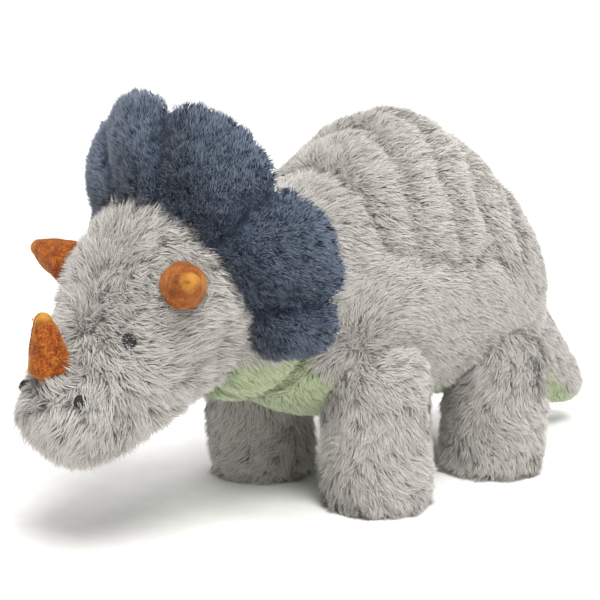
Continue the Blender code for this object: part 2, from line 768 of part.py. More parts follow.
def leg_socket(toy, name, joint):
    """The room that a leg needs in the torso, from one end of its swing to the other."""
    hip = toy.joints[joint].location
    points = []
    for r, z in leg_profile(-SWING_GAP, 0.0) + [(FOOT_RADIUS + SWING_GAP, -HIP_HEIGHT)]:
        for i in range(12):
            turn = 2 * math.pi * i / 12
            points.append((hip.x + r * math.cos(turn), hip.y + r * math.sin(turn), hip.z + z))
    mesh = swept_hull(f"cut_{name}", points, hip, "X", LEG_SWING + 0.5)
    return toy.cutter(f"cut_{name}", mesh)


def add_tail(toy, form):
    start = form.station_near(0.008, from_end=False)
    end = form.station_near(0.0035, from_end=True)
    seam = steady(TAIL_SEAM)
    cover = panel_mesh("tail_cover", form, start, end, negative(seam), seam, TAIL_PLUSH, 12, 10)
    toy.add("tail_cover", cover, "grey", "tail_wag")
    under = panel_mesh("tail_underside", form, start, end, seam, mirrored(seam), TAIL_PLUSH, 12, 7)
    toy.add("tail_underside", under, "green", "tail_wag")
    inside = -(TAIL_PLUSH + FILL_GAP)
    end = form.station_near(TAIL_PLUSH + 0.004, from_end=True)
    filling = form_mesh("tail_filling", form, inside, end=end, rings=9, sides=12)
    toy.add("tail_filling", filling, "fibre", "tail_wag")


def main():
    toy = Toy()
    torso, neck, head, tail = torso_form(), neck_form(), head_form(), tail_form()
    pivot = Vector((0.0, SHIFT_Y + NECK_Y, NECK_HEIGHT))
    toy.joint("neck_turn", pivot)
    toy.joint("head_nod", pivot)
    tail_pivot = toy.joint("tail_wag", (0.0, SHIFT_Y + TAIL_Y, TAIL_HEIGHT)).location

    socket = ball_mesh("cut_neck", pivot, NECK_RADIUS + SWING_GAP, 22, 12)
    ball = toy.cutter("cut_neck", socket)
    head_cut = toy.cutter(
        "cut_head", form_mesh("cut_head", head, REST_GAP, rings=36, sides=40)
    )
    sockets = {"neck": ball}
    for name, sign, y in LEGS:
        toy.joint(f"{name}_swing", (sign * LEG_SPREAD, SHIFT_Y + y, HIP_HEIGHT))
        sockets[name] = leg_socket(toy, name, f"{name}_swing")
        add_leg(toy, name, f"{name}_swing")
    t, angles = np.meshgrid(
        np.linspace(0.0, tail.last, 12), np.linspace(0.0, 2 * np.pi, 16, endpoint=False)
    )
    points = tail.offset(t.ravel(), angles.ravel(), SWING_GAP)
    hull = swept_hull("cut_tail", points, tail_pivot, "Z", TAIL_WAG + 0.5)
    sockets["tail"] = toy.cutter("cut_tail", hull)

    add_torso(toy, torso, sockets)
    add_neck(toy, neck)
    add_head(toy, head, ball)
    add_frill(toy, head, head_cut, ball)
    add_face(toy, head, head_cut)
    add_tail(toy, tail)
    bpy.context.view_layer.update()


main()
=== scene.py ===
"""Looks of a stuffed horned dinosaur: padded skins, combed pile, velour horns and stitched features.

Each sub-assembly is a class that holds its sizes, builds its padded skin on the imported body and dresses
it in pile. Lengths are metres and angles are degrees unless a name says otherwise.
"""

import json
import logging
import math
from dataclasses import dataclass, field, replace
from enum import Enum
from typing import Callable

import bpy
import numpy as np
from mathutils import Matrix, Vector
from mathutils.bvhtree import BVHTree


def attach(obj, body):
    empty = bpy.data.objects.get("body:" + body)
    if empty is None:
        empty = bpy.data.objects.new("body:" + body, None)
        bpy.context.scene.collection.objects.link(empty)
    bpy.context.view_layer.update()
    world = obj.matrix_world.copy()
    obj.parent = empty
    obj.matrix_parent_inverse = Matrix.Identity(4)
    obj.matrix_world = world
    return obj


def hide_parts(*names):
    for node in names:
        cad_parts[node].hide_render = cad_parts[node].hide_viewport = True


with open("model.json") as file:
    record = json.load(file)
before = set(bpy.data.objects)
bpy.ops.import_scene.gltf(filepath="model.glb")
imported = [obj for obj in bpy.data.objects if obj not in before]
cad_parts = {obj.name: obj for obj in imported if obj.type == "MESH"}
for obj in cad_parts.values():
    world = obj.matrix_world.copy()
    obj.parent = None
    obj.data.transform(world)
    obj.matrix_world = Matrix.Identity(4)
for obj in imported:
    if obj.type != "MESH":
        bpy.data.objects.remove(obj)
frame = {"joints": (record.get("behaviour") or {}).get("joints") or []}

log = logging.getLogger("dinosaur")
SEED = 20
SHADOW = "3E3C3A"           # multiplies the darkest strands, most of which stand in a crease
NECK_Y = -0.127             # the neck joint before packing, which moves the part along Y
MIRROR = np.array([-1.0, 1.0, 1.0])
Seam = Callable[[np.ndarray], np.ndarray]
Comb = Callable[[np.ndarray, np.ndarray], np.ndarray]


# ---------------------------------------------------------------- colours and nodes


def linear(code: str) -> tuple[float, float, float]:
    """Turns an sRGB hex colour into linear light.

    Args:
        code: Six hex digits, such as "C0BDB7".

    Returns:
        Red, green and blue as linear values.
    """
    parts = [int(code[i : i + 2], 16) / 255 for i in (0, 2, 4)]
    return tuple(p / 12.92 if p <= 0.04045 else ((p + 0.055) / 1.055) ** 2.4 for p in parts)


def feed(
    owner: bpy.types.Material | bpy.types.World,
    node: bpy.types.Node,
    links: dict[str | int, bpy.types.NodeSocket] | None = None,
    values: dict[str | int, object] | None = None,
) -> None:
    """Sets a node's inputs, from sockets or to values.

    Args:
        owner: The material or world whose tree holds the node.
        node: The node.
        links: Input name or number to the socket that feeds it.
        values: Input name or number to its value.
    """
    for name, value in (values or {}).items():
        node.inputs[name].default_value = value
    for name, socket in (links or {}).items():
        owner.node_tree.links.new(socket, node.inputs[name])


def put(
    owner: bpy.types.Material | bpy.types.World,
    kind: str,
    settings: dict[str, object] | None = None,
    links: dict[str | int, bpy.types.NodeSocket] | None = None,
    values: dict[str | int, object] | None = None,
    stops: list[tuple[float, str]] | None = None,
) -> bpy.types.Node:
    """Adds a shader node with its settings, socket values and links.

    Args:
        owner: The material or world whose tree takes the node.
        kind: The node's type name.
        settings: Properties of the node itself.
        links: Input name or number to the socket that feeds it.
        values: Input name or number to its value.
        stops: A colour ramp's places with sRGB hex colours.

    Returns:
        The new node.
    """
    node = owner.node_tree.nodes.new(kind)
    for name, value in (settings or {}).items():
        setattr(node, name, value)
    for _ in range(len(stops or ()) - 2):
        node.color_ramp.elements.new(0.5)
    for number, (place, code) in enumerate(stops or ()):
        element = node.color_ramp.elements[number]
        element.position = place
        element.color = (*linear(code), 1.0)
    feed(owner, node, links, values)
    return node


def new_material(name: str) -> tuple[bpy.types.Material, bpy.types.Node]:
    """Makes an empty node material.

    Args:
        name: The material's name.

    Returns:
        The material and its Principled shader.
    """
    material = bpy.data.materials.new(name)
    material.use_nodes = True
    return material, material.node_tree.nodes["Principled BSDF"]


# ---------------------------------------------------------------- finishes


@dataclass(frozen=True)
class Pile:
    """A knitted plush cloth with a cut pile of polyester fibre.

    The pile is real geometry: tapered strands gathered in clumps, as fibre that has been handled does.
    """

    name: str
    slot: str
    tip: str                    # colour at the strands' tips
    middle: str
    root: str                   # colour down at the backing, where little light comes
    underfur: str               # colour of the darker strands among the others
    length: float
    width: float
    strands: int                # strands in a clump
    clump: float                # radius of a clump
    cover: float                # how many times the clumps cover the cloth
    lift: float                 # angle of a strand's lower half to the cloth
    lie: float                  # angle of its upper half
    gather: float               # how far tips lean towards their clump's tip, from 0 to 1
    wander: float               # how far the comb turns from place to place
    shades: tuple[str, str] = ("CFCCC8", "F3F2F1")      # how strands differ, as a multiplier
    shadow: float = 0.6         # how far a crease darkens
    sheen: float = 0.25

    def strand_material(self) -> bpy.types.Material:
        """Fibre that is dark at the root and light at the tip, which gives the pile its depth.

        Returns:
            The material.
        """
        material, shader = new_material(f"{self.name}_fibre")
        uv = put(material, "ShaderNodeUVMap", {"uv_map": "OFBake"})
        split = put(material, "ShaderNodeSeparateXYZ", links={0: uv.outputs["UV"]})
        along = put(
            material, "ShaderNodeValToRGB", links={"Fac": split.outputs["Y"]},
            stops=[(0.0, self.root), (0.45, self.middle), (0.95, self.tip)],
        )
        few, most = self.shades
        shade = put(
            material, "ShaderNodeValToRGB", links={"Fac": split.outputs["X"]},
            stops=[(0.03, SHADOW), (0.10, self.underfur), (0.17, few), (0.4, most), (0.97, "FFFFFF")],
        )
        mix = put(
            material, "ShaderNodeMix", {"data_type": "RGBA", "blend_type": "MULTIPLY"},
            {6: along.outputs["Color"], 7: shade.outputs["Color"]}, {0: 1.0},
        )
        feed(material, shader, {"Base Color": mix.outputs[2]}, {
            "Roughness": 0.75,
            "Specular IOR Level": 0.25,
            "Sheen Weight": self.sheen,
            "Sheen Roughness": 0.45,
        })
        return material

    def backing_material(self) -> bpy.types.Material:
        """Knitted backing in the shade of the pile, with the pile's roots as a fine mottle.

        Returns:
            The material.
        """
        material, shader = new_material(f"{self.name}_backing")
        place = put(material, "ShaderNodeTexCoord").outputs["Object"]
        tufts = put(material, "ShaderNodeTexNoise", links={"Vector": place}, values={"Scale": 1 / 0.004})
        colour = put(
            material, "ShaderNodeValToRGB", links={"Fac": tufts.outputs["Fac"]},
            stops=[(0.3, self.root), (0.7, self.middle)],
        )
        knit = put(material, "ShaderNodeTexNoise", links={"Vector": place}, values={"Scale": 1 / 0.0012})
        bump = put(
            material, "ShaderNodeBump", links={"Height": knit.outputs["Fac"]},
            values={"Strength": 0.5, "Distance": 0.0008},
        )
        feed(
            material, shader,
            {"Base Color": colour.outputs["Color"], "Normal": bump.outputs["Normal"]},
            {"Roughness": 0.95, "Specular IOR Level": 0.1},
        )
        return material


@dataclass(frozen=True)
class Velour:
    """Short, dense velour: crushed in places, so that it looks lighter where the nap leans away."""

    name: str = "ochre_velour"
    slot: str = "ochre_velour"
    dark: str = "5A270B"
    body: str = "8A4213"
    light: str = "A96A28"
    highlight_and_seam_tone: str = "BE8B3C"        # painted highlight at the tip, and a paler line along the seam
    crush: float = 0.006        # size of a crushed patch
    nap: float = 0.0011         # size of a tuft, coarser than real nap so that it shows

    def material(self) -> bpy.types.Material:
        """Rough cloth with a strong sheen, mottled where it is crushed.

        Returns:
            The material.
        """
        material, shader = new_material(f"{self.name}_crushed")
        place = put(material, "ShaderNodeTexCoord").outputs["Object"]
        patches = put(
            material, "ShaderNodeTexNoise", links={"Vector": place},
            values={"Scale": 1 / self.crush, "Detail": 6.0, "Roughness": 0.65},
        )
        nap = put(
            material, "ShaderNodeTexNoise", links={"Vector": place},
            values={"Scale": 1 / self.nap, "Detail": 3.0},
        )
        both = put(
            material, "ShaderNodeMix", {"data_type": "FLOAT"},
            {2: patches.outputs["Fac"], 3: nap.outputs["Fac"]}, {0: 0.5},
        )
        colour = put(
            material, "ShaderNodeValToRGB", links={"Fac": both.outputs[0]},
            stops=[(0.38, self.dark), (0.5, self.body), (0.62, self.light)],
        )
        # The tip gets a painted highlight, and a line along the seam is paler.
        highlight_and_seam = put(material, "ShaderNodeAttribute", {"attribute_name": "highlight_and_seam"})
        highlight_and_seam_tone = put(
            material, "ShaderNodeMix", {"data_type": "RGBA"},
            {0: highlight_and_seam.outputs["Fac"], 6: colour.outputs["Color"]}, {7: (*linear(self.highlight_and_seam_tone), 1.0)},
        )
        bump = put(
            material, "ShaderNodeBump", links={"Height": both.outputs[0]},
            values={"Strength": 0.9, "Distance": 0.0009},
        )
        links = {"Base Color": highlight_and_seam_tone.outputs[2], "Normal": bump.outputs["Normal"]}
        feed(material, shader, links, {
            "Roughness": 0.8,
            "Sheen Weight": 0.5,
            "Sheen Roughness": 0.35,
            "Sheen Tint": (*linear("FFC27A"), 1.0),
            "Specular IOR Level": 0.2,
        })
        return material


@dataclass(frozen=True)
class Thread:
    """Rayon embroidery thread, twisted, with a dull shine along each strand."""

    name: str
    colour: str
    shine: float
    twist: float = 0.0006       # from one twist of the thread to the next

    def material(self) -> bpy.types.Material:
        """Thread with a fine twist across it.

        Returns:
            The material.
        """
        material, shader = new_material(self.name)
        place = put(material, "ShaderNodeTexCoord").outputs["Object"]
        twist = put(
            material, "ShaderNodeTexNoise", links={"Vector": place},
            values={"Scale": 1 / self.twist, "Detail": 4.0},
        )
        bump = put(
            material, "ShaderNodeBump", links={"Height": twist.outputs["Fac"]},
            values={"Strength": 0.5, "Distance": 0.0003},
        )
        colour = (*linear(self.colour), 1.0)
        links = {"Normal": bump.outputs["Normal"]}
        feed(material, shader, links, {"Base Color": colour, "Roughness": self.shine})
        return material


GREY = Pile(
    "grey_long_pile", "grey_long_pile_plush", "DAD7D2", "C4C0BA", "746F69", "97918A",
    length=0.0080, width=0.00043, strands=34, clump=0.0034, cover=2.8, lift=44.0, lie=18.0,
    gather=0.26, wander=18.0,
)
# The same cloth where handling has left it longer and more tufted.
GREY_HEAD = replace(
    GREY, length=0.0106, clump=0.0042, strands=38, lift=50.0, lie=26.0, gather=0.5, wander=30.0
)
GREY_LEG = replace(
    GREY, length=0.0090, clump=0.0038, strands=36, lift=48.0, lie=24.0, gather=0.46, wander=42.0
)
BLUE = Pile(
    "slate_blue_pile", "slate_blue_plush", "97A5BA", "4F5B6E", "171C25", "7C8088",
    length=0.0050, width=0.00043, strands=28, clump=0.0028, cover=2.6, lift=60.0, lie=40.0,
    gather=0.26, wander=28.0, shades=("9A9A9A", "BDBDBD"), shadow=0.95,
    sheen=0.3,
)
GREEN = Pile(
    "sage_green_pile", "sage_green_plush", "D2DEBB", "B9C6A0", "717D58", "AAB292",
    length=0.0074, width=0.00045, strands=32, clump=0.0034, cover=2.6, lift=42.0, lie=17.0,
    gather=0.34, wander=18.0,
)
OCHRE = Velour()


# ---------------------------------------------------------------- shapes


def spline(keys: np.ndarray, values: np.ndarray, at: np.ndarray) -> np.ndarray:
    """Smooth values through keys.

    Args:
        keys: Rising places.
        values: The value at each key, or a row of values.
        at: Where to read.

    Returns:
        One value or row for each place in at.
    """
    keys = np.asarray(keys, float)
    values = np.asarray(values, float)
    slopes = np.gradient(values, keys, axis=0)
    at = np.clip(np.asarray(at, float), keys[0], keys[-1])
    i = np.clip(np.searchsorted(keys, at, side="right") - 1, 0, len(keys) - 2)
    span = keys[i + 1] - keys[i]
    s = (at - keys[i]) / span
    if values.ndim > 1:
        s = s[..., None]
        span = span[..., None]
    return (
        (2 * s**3 - 3 * s**2 + 1) * values[i]
        + (s**3 - 2 * s**2 + s) * span * slopes[i]
        + (3 * s**2 - 2 * s**3) * values[i + 1]
        + (s**3 - s**2) * span * slopes[i + 1]
    )


class Form:
    """A padded shape: elliptical sections along a bent spine in the middle plane.

    A station is (centre y, centre z, pitch, half width, half height). Pitch is the lean of the section's
    own up direction towards -Y. Angles round a section start at its top and grow towards +X.
    """

    def __init__(self, stations: list[tuple[float, ...]]) -> None:
        """Reads the sections and finds which way is out.

        Args:
            stations: The sections from one end to the other.
        """
        self.stations = np.array(stations, float)
        self.last = len(stations) - 1.0
        self.facing = 1.0
        middle = np.array([0.5 * self.last])
        centre = spline(np.arange(self.last + 1), self.stations, middle)[0, :2]
        top = self.point(middle, np.zeros(1))[0]
        outward = self.normal(middle, np.zeros(1))[0]
        if np.dot(top[1:] - centre, outward[1:]) < 0:
            self.facing = -1.0

    def point(self, t: np.ndarray, angle: np.ndarray) -> np.ndarray:
        """The surface's point at station t and angle in radians.

        Args:
            t: Stations along the form.
            angle: Angles round it, in radians.

        Returns:
            A point for each pair.
        """
        y, z, pitch, wide, high = spline(np.arange(self.last + 1), self.stations, t).T
        lean = np.radians(pitch)
        up = high * np.cos(angle)
        return np.stack(
            [wide * np.sin(angle), y - up * np.sin(lean), z + up * np.cos(lean)], axis=-1
        )

    def normal(self, t: np.ndarray, angle: np.ndarray) -> np.ndarray:
        """The outward direction there.

        Args:
            t: Stations along the form.
            angle: Angles round it, in radians.

        Returns:
            A direction of length one for each pair.
        """
        step = 1e-3
        along = self.point(np.clip(t + step, 0, self.last), angle)
        along = along - self.point(np.clip(t - step, 0, self.last), angle)
        around = self.point(t, angle + step) - self.point(t, angle - step)
        outward = np.cross(along, around)
        return self.facing * outward / np.linalg.norm(outward, axis=-1, keepdims=True)

    def offset(self, t: np.ndarray, angle: np.ndarray, distance: float) -> np.ndarray:
        """A point moved outward by distance."""
        return self.point(t, angle) + distance * self.normal(t, angle)


def dome(
    y: float, z: float, pitch: float, radius: float, facing: float, count: int = 5
) -> list[tuple[float, ...]]:
    """Stations of a half ball, from its pole towards its equator.

    Args:
        y: The ball's centre.
        z: The ball's centre.
        pitch: Lean of the sections.
        radius: The ball's radius.
        facing: -1 for a pole at -Y and 1 for one at +Y.
        count: How many stations.

    Returns:
        The stations.
    """
    found = []
    lean = math.radians(pitch)
    for i in range(count):
        turn = math.radians(4.0 + (86.0 - 86.0 / count) * i / (count - 1))
        reach = facing * radius * math.cos(turn)
        across = radius * math.sin(turn)
        found.append(
            (y + reach * math.cos(lean), z + reach * math.sin(lean), pitch, across, across)
        )
    return found


def unit(vectors: np.ndarray) -> np.ndarray:
    """The vectors at length one."""
    return vectors / np.maximum(np.linalg.norm(vectors, axis=-1, keepdims=True), 1e-12)


def drift(points: np.ndarray, size: float, seed: int) -> np.ndarray:
    """Smooth noise in space, between about -1 and 1.

    Args:
        points: Where to read it.
        size: Length over which it changes.
        seed: Which noise.

    Returns:
        One value for each point.
    """
    rng = np.random.default_rng(seed)
    total = np.zeros(len(points))
    for _ in range(7):
        wave = unit(rng.normal(size=3)) * rng.uniform(0.6, 1.6) * 2.6 / size
        total += np.sin(points @ wave + rng.uniform(0, 2 * np.pi))
    return total / 2.6


@dataclass
class Skin:
    """A closed padded skin as arrays, with a panel number for each face."""

    name: str
    points: np.ndarray
    quads: np.ndarray
    fans: np.ndarray
    quad_panel: np.ndarray
    fan_panel: np.ndarray
    held: np.ndarray            # points that a seam or a stitch holds down
    fold: np.ndarray = field(init=False)    # how deep in a crease each point lies, from 0 to 1
    painted_highlight: np.ndarray = field(init=False)   # how much paler the pile is at each point, from 0 to 1, as a painted highlight

    def __post_init__(self) -> None:
        """Starts with no crease."""
        self.fold = np.zeros(len(self.points))
        self.painted_highlight = np.zeros(len(self.points))

    @classmethod
    def from_grid(
        cls, name: str, grid: np.ndarray, panel: np.ndarray, held: np.ndarray
    ) -> "Skin":
        """Closes a tube of points with a fan at each end.

        Args:
            name: The skin's name.
            grid: Points, as rings by sides by 3.
            panel: The panel number of each face of the tube, as rings - 1 by sides.
            held: Which points are held, as rings by sides.

        Returns:
            The skin, with its faces pointing out.
        """
        rings, sides = grid.shape[:2]
        index = np.arange(rings * sides).reshape(rings, sides)
        turned = np.roll(index, -1, axis=1)
        quads = np.stack([index[:-1], turned[:-1], turned[1:], index[1:]], axis=-1)
        first = rings * sides
        head = np.stack([np.full(sides, first), turned[0], index[0]], axis=-1)
        tail = np.stack([np.full(sides, first + 1), index[-1], turned[-1]], axis=-1)
        points = np.concatenate([grid.reshape(-1, 3), [grid[0].mean(0), grid[-1].mean(0)]])
        skin = cls(
            name,
            points,
            quads.reshape(-1, 4),
            np.concatenate([head, tail]),
            panel.reshape(-1),
            np.concatenate([panel[0], panel[-1]]),
            np.concatenate([held.reshape(-1), [True, True]]),
        )
        if skin.volume() < 0:
            skin.quads = skin.quads[:, ::-1]
            skin.fans = skin.fans[:, ::-1]
        return skin

    def triangles(self, panel: int | None = None) -> np.ndarray:
        """The faces of one panel, or of all, as triangles.

        Args:
            panel: The panel's number, or None for all.

        Returns:
            Three point numbers for each triangle.
        """
        quads = self.quads if panel is None else self.quads[self.quad_panel == panel]
        fans = self.fans if panel is None else self.fans[self.fan_panel == panel]
        return np.concatenate([quads[:, [0, 1, 2]], quads[:, [0, 2, 3]], fans])

    def volume(self) -> float:
        """The volume inside, negative if the faces point in."""
        a, b, c = (self.points[self.triangles()[:, i]] for i in range(3))
        return float(np.einsum("ij,ij->i", a, np.cross(b, c)).sum() / 6)

    def normals(self) -> np.ndarray:
        """The outward direction at each point.

        Returns:
            A direction of length one for each point.
        """
        triangles = self.triangles()
        a, b, c = (self.points[triangles[:, i]] for i in range(3))
        across = np.cross(b - a, c - a)
        total = np.zeros_like(self.points)
        for i in range(3):
            np.add.at(total, triangles[:, i], across)
        return unit(total)

    def faces(self) -> list[list[int]]:
        """All faces, for a Blender mesh."""
        return self.quads.tolist() + self.fans.tolist()

    def tree(self) -> BVHTree:
        """A search tree over the faces."""
        return BVHTree.FromPolygons([Vector(p) for p in self.points], self.faces())

    def mesh(self, name: str) -> bpy.types.Mesh:
        """A smooth Blender mesh of the whole skin, with the panel number as the material index.

        Args:
            name: The mesh's name.

        Returns:
            The mesh.
        """
        mesh = bpy.data.meshes.new(name)
        mesh.from_pydata(self.points.tolist(), [], self.faces())
        numbers = np.concatenate([self.quad_panel, self.fan_panel]).astype(np.int32)
        mesh.polygons.foreach_set("material_index", numbers)
        mesh.shade_smooth()
        return mesh

    def stuff(self, pressure: float, cap: float) -> None:
        """Fills the skin: cloth under pressure, held along its seams, applied with capped moves.

        Args:
            pressure: The cloth's pressure.
            cap: The furthest that a point may move.
        """
        piece = bpy.data.objects.new(f"{self.name}_sewing", self.mesh(f"{self.name}_sewing"))
        bpy.context.scene.collection.objects.link(piece)
        group = piece.vertex_groups.new(name="seams")
        group.add([int(i) for i in np.flatnonzero(self.held)], 1.0, "REPLACE")
        cloth = piece.modifiers.new("cloth", "CLOTH")
        cloth.settings.vertex_group_mass = "seams"
        cloth.settings.use_pressure = True
        cloth.settings.uniform_pressure_force = pressure
        cloth.settings.effector_weights.gravity = 0.0
        cloth.settings.quality = 5
        cloth.settings.mass = 0.004
        cloth.settings.tension_stiffness = 8.0
        cloth.settings.compression_stiffness = 8.0
        cloth.settings.bending_stiffness = 0.3
        scene = bpy.context.scene
        for number in range(1, 21):
            scene.frame_set(number)
        graph = bpy.context.evaluated_depsgraph_get()
        done = piece.evaluated_get(graph).to_mesh()
        moved = np.zeros(len(self.points) * 3, np.float32)
        done.vertices.foreach_get("co", moved)
        piece.evaluated_get(graph).to_mesh_clear()
        move = moved.reshape(-1, 3) - self.points
        size = np.linalg.norm(move, axis=1, keepdims=True)
        self.points = self.points + move * np.minimum(1.0, cap / np.maximum(size, 1e-9))
        scene.frame_set(1)
        bpy.data.objects.remove(piece)
        log.info("stuffed %s: moved %.1f mm at most", self.name, 1000 * size.max())

    def pinch(self, lines: list[np.ndarray], depth: float, width: float) -> None:
        """Draws the skin in along sewn or folded lines.

        Args:
            lines: Each line as close-set points.
            depth: How deep the crease is.
            width: How wide it is.
        """
        normals = self.normals()
        pull = np.zeros(len(self.points))
        for line in lines:
            gap = np.linalg.norm(self.points[:, None] - line[None], axis=2).min(axis=1)
            pull = np.maximum(pull, np.exp(-((gap / width) ** 2)))
        self.points = self.points - (depth * pull)[:, None] * normals
        self.fold = np.maximum(self.fold, pull)


def show(name: str, mesh: bpy.types.Mesh, materials: list[bpy.types.Material]) -> bpy.types.Object:
    """Adds a mesh to the scene as a piece.

    Args:
        name: The piece's name.
        mesh: Its mesh.
        materials: Its materials, in order.

    Returns:
        The new object.
    """
    for material in materials:
        mesh.materials.append(material)
    piece = bpy.data.objects.new(name, mesh)
    bpy.context.scene.collection.objects.link(piece)
    return piece


class Wardrobe:
    """The materials, made once and shared."""

    def __init__(self) -> None:
        """Makes every material."""
        self.fibre = {p.name: p.strand_material() for p in (GREY, BLUE, GREEN)}
        self.backing = {p.name: p.backing_material() for p in (GREY, BLUE, GREEN)}
        self.velour = OCHRE.material()
        self.black = Thread("black_embroidery_thread", "151619", 0.7).material()
        self.ochre_thread = Thread("ochre_sewing_thread", "8A4A1C", 0.6).material()


def within(values: np.ndarray, corners: np.ndarray, u: np.ndarray, v: np.ndarray) -> np.ndarray:
    """Values at places inside triangles.

    Args:
        values: A row for each point.
        corners: Three point numbers for each place.
        u: Share of the way to the second corner.
        v: Share of the way to the third.

    Returns:
        A row for each place.
    """
    a, b, c = (values[corners[:, i]] for i in range(3))
    return a + u * (b - a) + v * (c - a)


@dataclass
class Barber:
    """Sets pile on a skin: even clumps of tapered strands, combed along a field."""

    wardrobe: Wardrobe
    solids: dict[str, BVHTree] = field(default_factory=dict)
    horns: set[str] = field(default_factory=set)
    total: int = 0
    far: float = 0.02           # no clearance counts beyond this
    search: float = 0.06        # how far away another solid is looked for
    partings: float = 0.04      # share of clumps that are parted as if in a crease, shorter and darkened with painted shade
    droop: float = 0.12         # how far a strand's tip hangs
    bury: float = 0.0006        # how deep a root stands in the backing
    floor: float = 0.0003       # lowest height of any strand

    def clearance(self, points: np.ndarray, ignore: str) -> tuple[np.ndarray, np.ndarray]:
        """How far points are outside every other solid, up to 20 mm, and negative inside one.

        Args:
            points: The points.
            ignore: The solid that they are on.

        Returns:
            The distance to the nearest padded skin, and to the nearest horn.
        """
        found = {horn: np.full(len(points), self.far) for horn in (True, False)}
        for name, tree in self.solids.items():
            if name == ignore:
                continue
            distance = found[name in self.horns]
            for i, point in enumerate(points):
                p = Vector(point)
                place, normal, _, _ = tree.find_nearest(p, self.search)
                if place is not None:
                    distance[i] = min(distance[i], (p - place).dot(normal))
        return found[False], found[True]

    def pile(
        self,
        name: str,
        cloth: Pile,
        skin: Skin,
        panel: int,
        comb: Comb,
        bare: list[tuple[np.ndarray, float]] | None = None,
        tucked: bool = False,
    ) -> bpy.types.Object:
        """Grows one panel's pile.

        Args:
            name: The piece's name.
            cloth: The pile.
            skin: The skin that it stands on.
            panel: The panel's number.
            comb: Gives the direction of the pile from points and normals.
            bare: Places with a radius where no clump stands.
            tucked: Whether the pile is pressed short where it meets another body.

        Returns:
            The piece.
        """
        seed = SEED + sum(ord(c) * (i + 1) for i, c in enumerate(name))
        rng = np.random.default_rng(seed)
        triangles = skin.triangles(panel)
        a, b, c = (skin.points[triangles[:, i]] for i in range(3))
        area = 0.5 * np.linalg.norm(np.cross(b - a, c - a), axis=1)
        share = 1.0
        count = int(share * cloth.cover * area.sum() / (np.pi * cloth.clump**2))
        stops = (np.arange(count) + rng.random(count)) / count * area.sum()
        pick = np.minimum(np.searchsorted(np.cumsum(area), stops), len(area) - 1)
        u, v = rng.random(count), rng.random(count)
        over = u + v > 1
        u, v = np.where(over, 1 - u, u)[:, None], np.where(over, 1 - v, v)[:, None]
        three = triangles[pick]
        centre = within(skin.points, three, u, v)
        normal = unit(within(skin.normals(), three, u, v))
        fold = within(skin.fold[:, None], three, u, v)[:, 0]
        fold = np.maximum(fold, 0.8 * (rng.random(count) < self.partings))
        painted_highlight = skin.painted_highlight[three[:, 0]]
        clear, horn = self.clearance(centre, skin.name)
        seen = (clear > -0.45 * cloth.length) & (horn > -0.001)
        seen &= rng.random(count) > 0.5 * cloth.shadow * fold
        squash = np.ones(count)
        if tucked:
            squash = 0.4 + 0.6 * np.clip((clear + 0.003) / 0.009, 0.0, 1.0)
        upright = np.clip(1 - horn / 0.011, 0.0, 1.0)
        for place, radius in bare or []:
            seen &= np.linalg.norm(centre - place, axis=1) > radius
        centre, normal, fold = centre[seen], normal[seen], fold[seen]
        comb_at = comb(centre, normal)
        size = squash[seen] * (1 - 0.5 * fold)
        points, facing = self.strands(cloth, centre, normal, comb_at, size, upright[seen], rng)
        # Strands in a crease or a parting are darkened with painted shade, and paler places get a painted
        # highlight.
        light, painted_highlight = (np.repeat(x, cloth.strands) for x in (1 - cloth.shadow * fold, painted_highlight[seen]))
        mesh = self.ribbons(name, points, facing, light, painted_highlight, rng)
        piece = show(name, mesh, [self.wardrobe.fibre[cloth.name]])
        self.total += len(mesh.polygons)
        log.info("%s: %d clumps, %d faces", name, len(centre), len(mesh.polygons))
        return piece

    def grow(
        self,
        normal: np.ndarray,
        ahead: np.ndarray,
        up: np.ndarray,
        down: np.ndarray,
        long: np.ndarray,
    ) -> tuple[np.ndarray, np.ndarray]:
        """Bends strands over, from their roots.

        Args:
            normal: The skin's direction at each root.
            ahead: The comb's direction there.
            up: The lower half's angle to the skin.
            down: The upper half's angle.
            long: Each strand's length.

        Returns:
            The middle and the tip of each strand, from its root.
        """
        first = np.cos(up)[:, None] * ahead + np.sin(up)[:, None] * normal
        then = np.cos(down)[:, None] * ahead + np.sin(down)[:, None] * normal
        then = unit(then - np.array([0, 0, self.droop]))
        mid = 0.5 * long[:, None] * first
        return mid, mid + 0.5 * long[:, None] * then

    def dress(
        self,
        body: str,
        skin: Skin,
        panels: list[tuple[int, str, Pile]],
        comb: Comb,
        bare: list[tuple[np.ndarray, float]] | None = None,
        tucked: bool = False,
    ) -> None:
        """Grows the pile of a skin's panels, each in place of its cloth.

        Args:
            body: The body that the skin rides on.
            skin: The skin.
            panels: Each panel's number, node and pile.
            comb: Gives the direction of the pile from points and normals.
            bare: Places with a radius where no clump stands.
            tucked: Whether the pile is pressed short where it meets another body.
        """
        for panel, node, cloth in panels:
            pile = self.pile(f"{node}_pile", cloth, skin, panel, comb, bare, tucked)
            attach(pile, body)
            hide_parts(node)

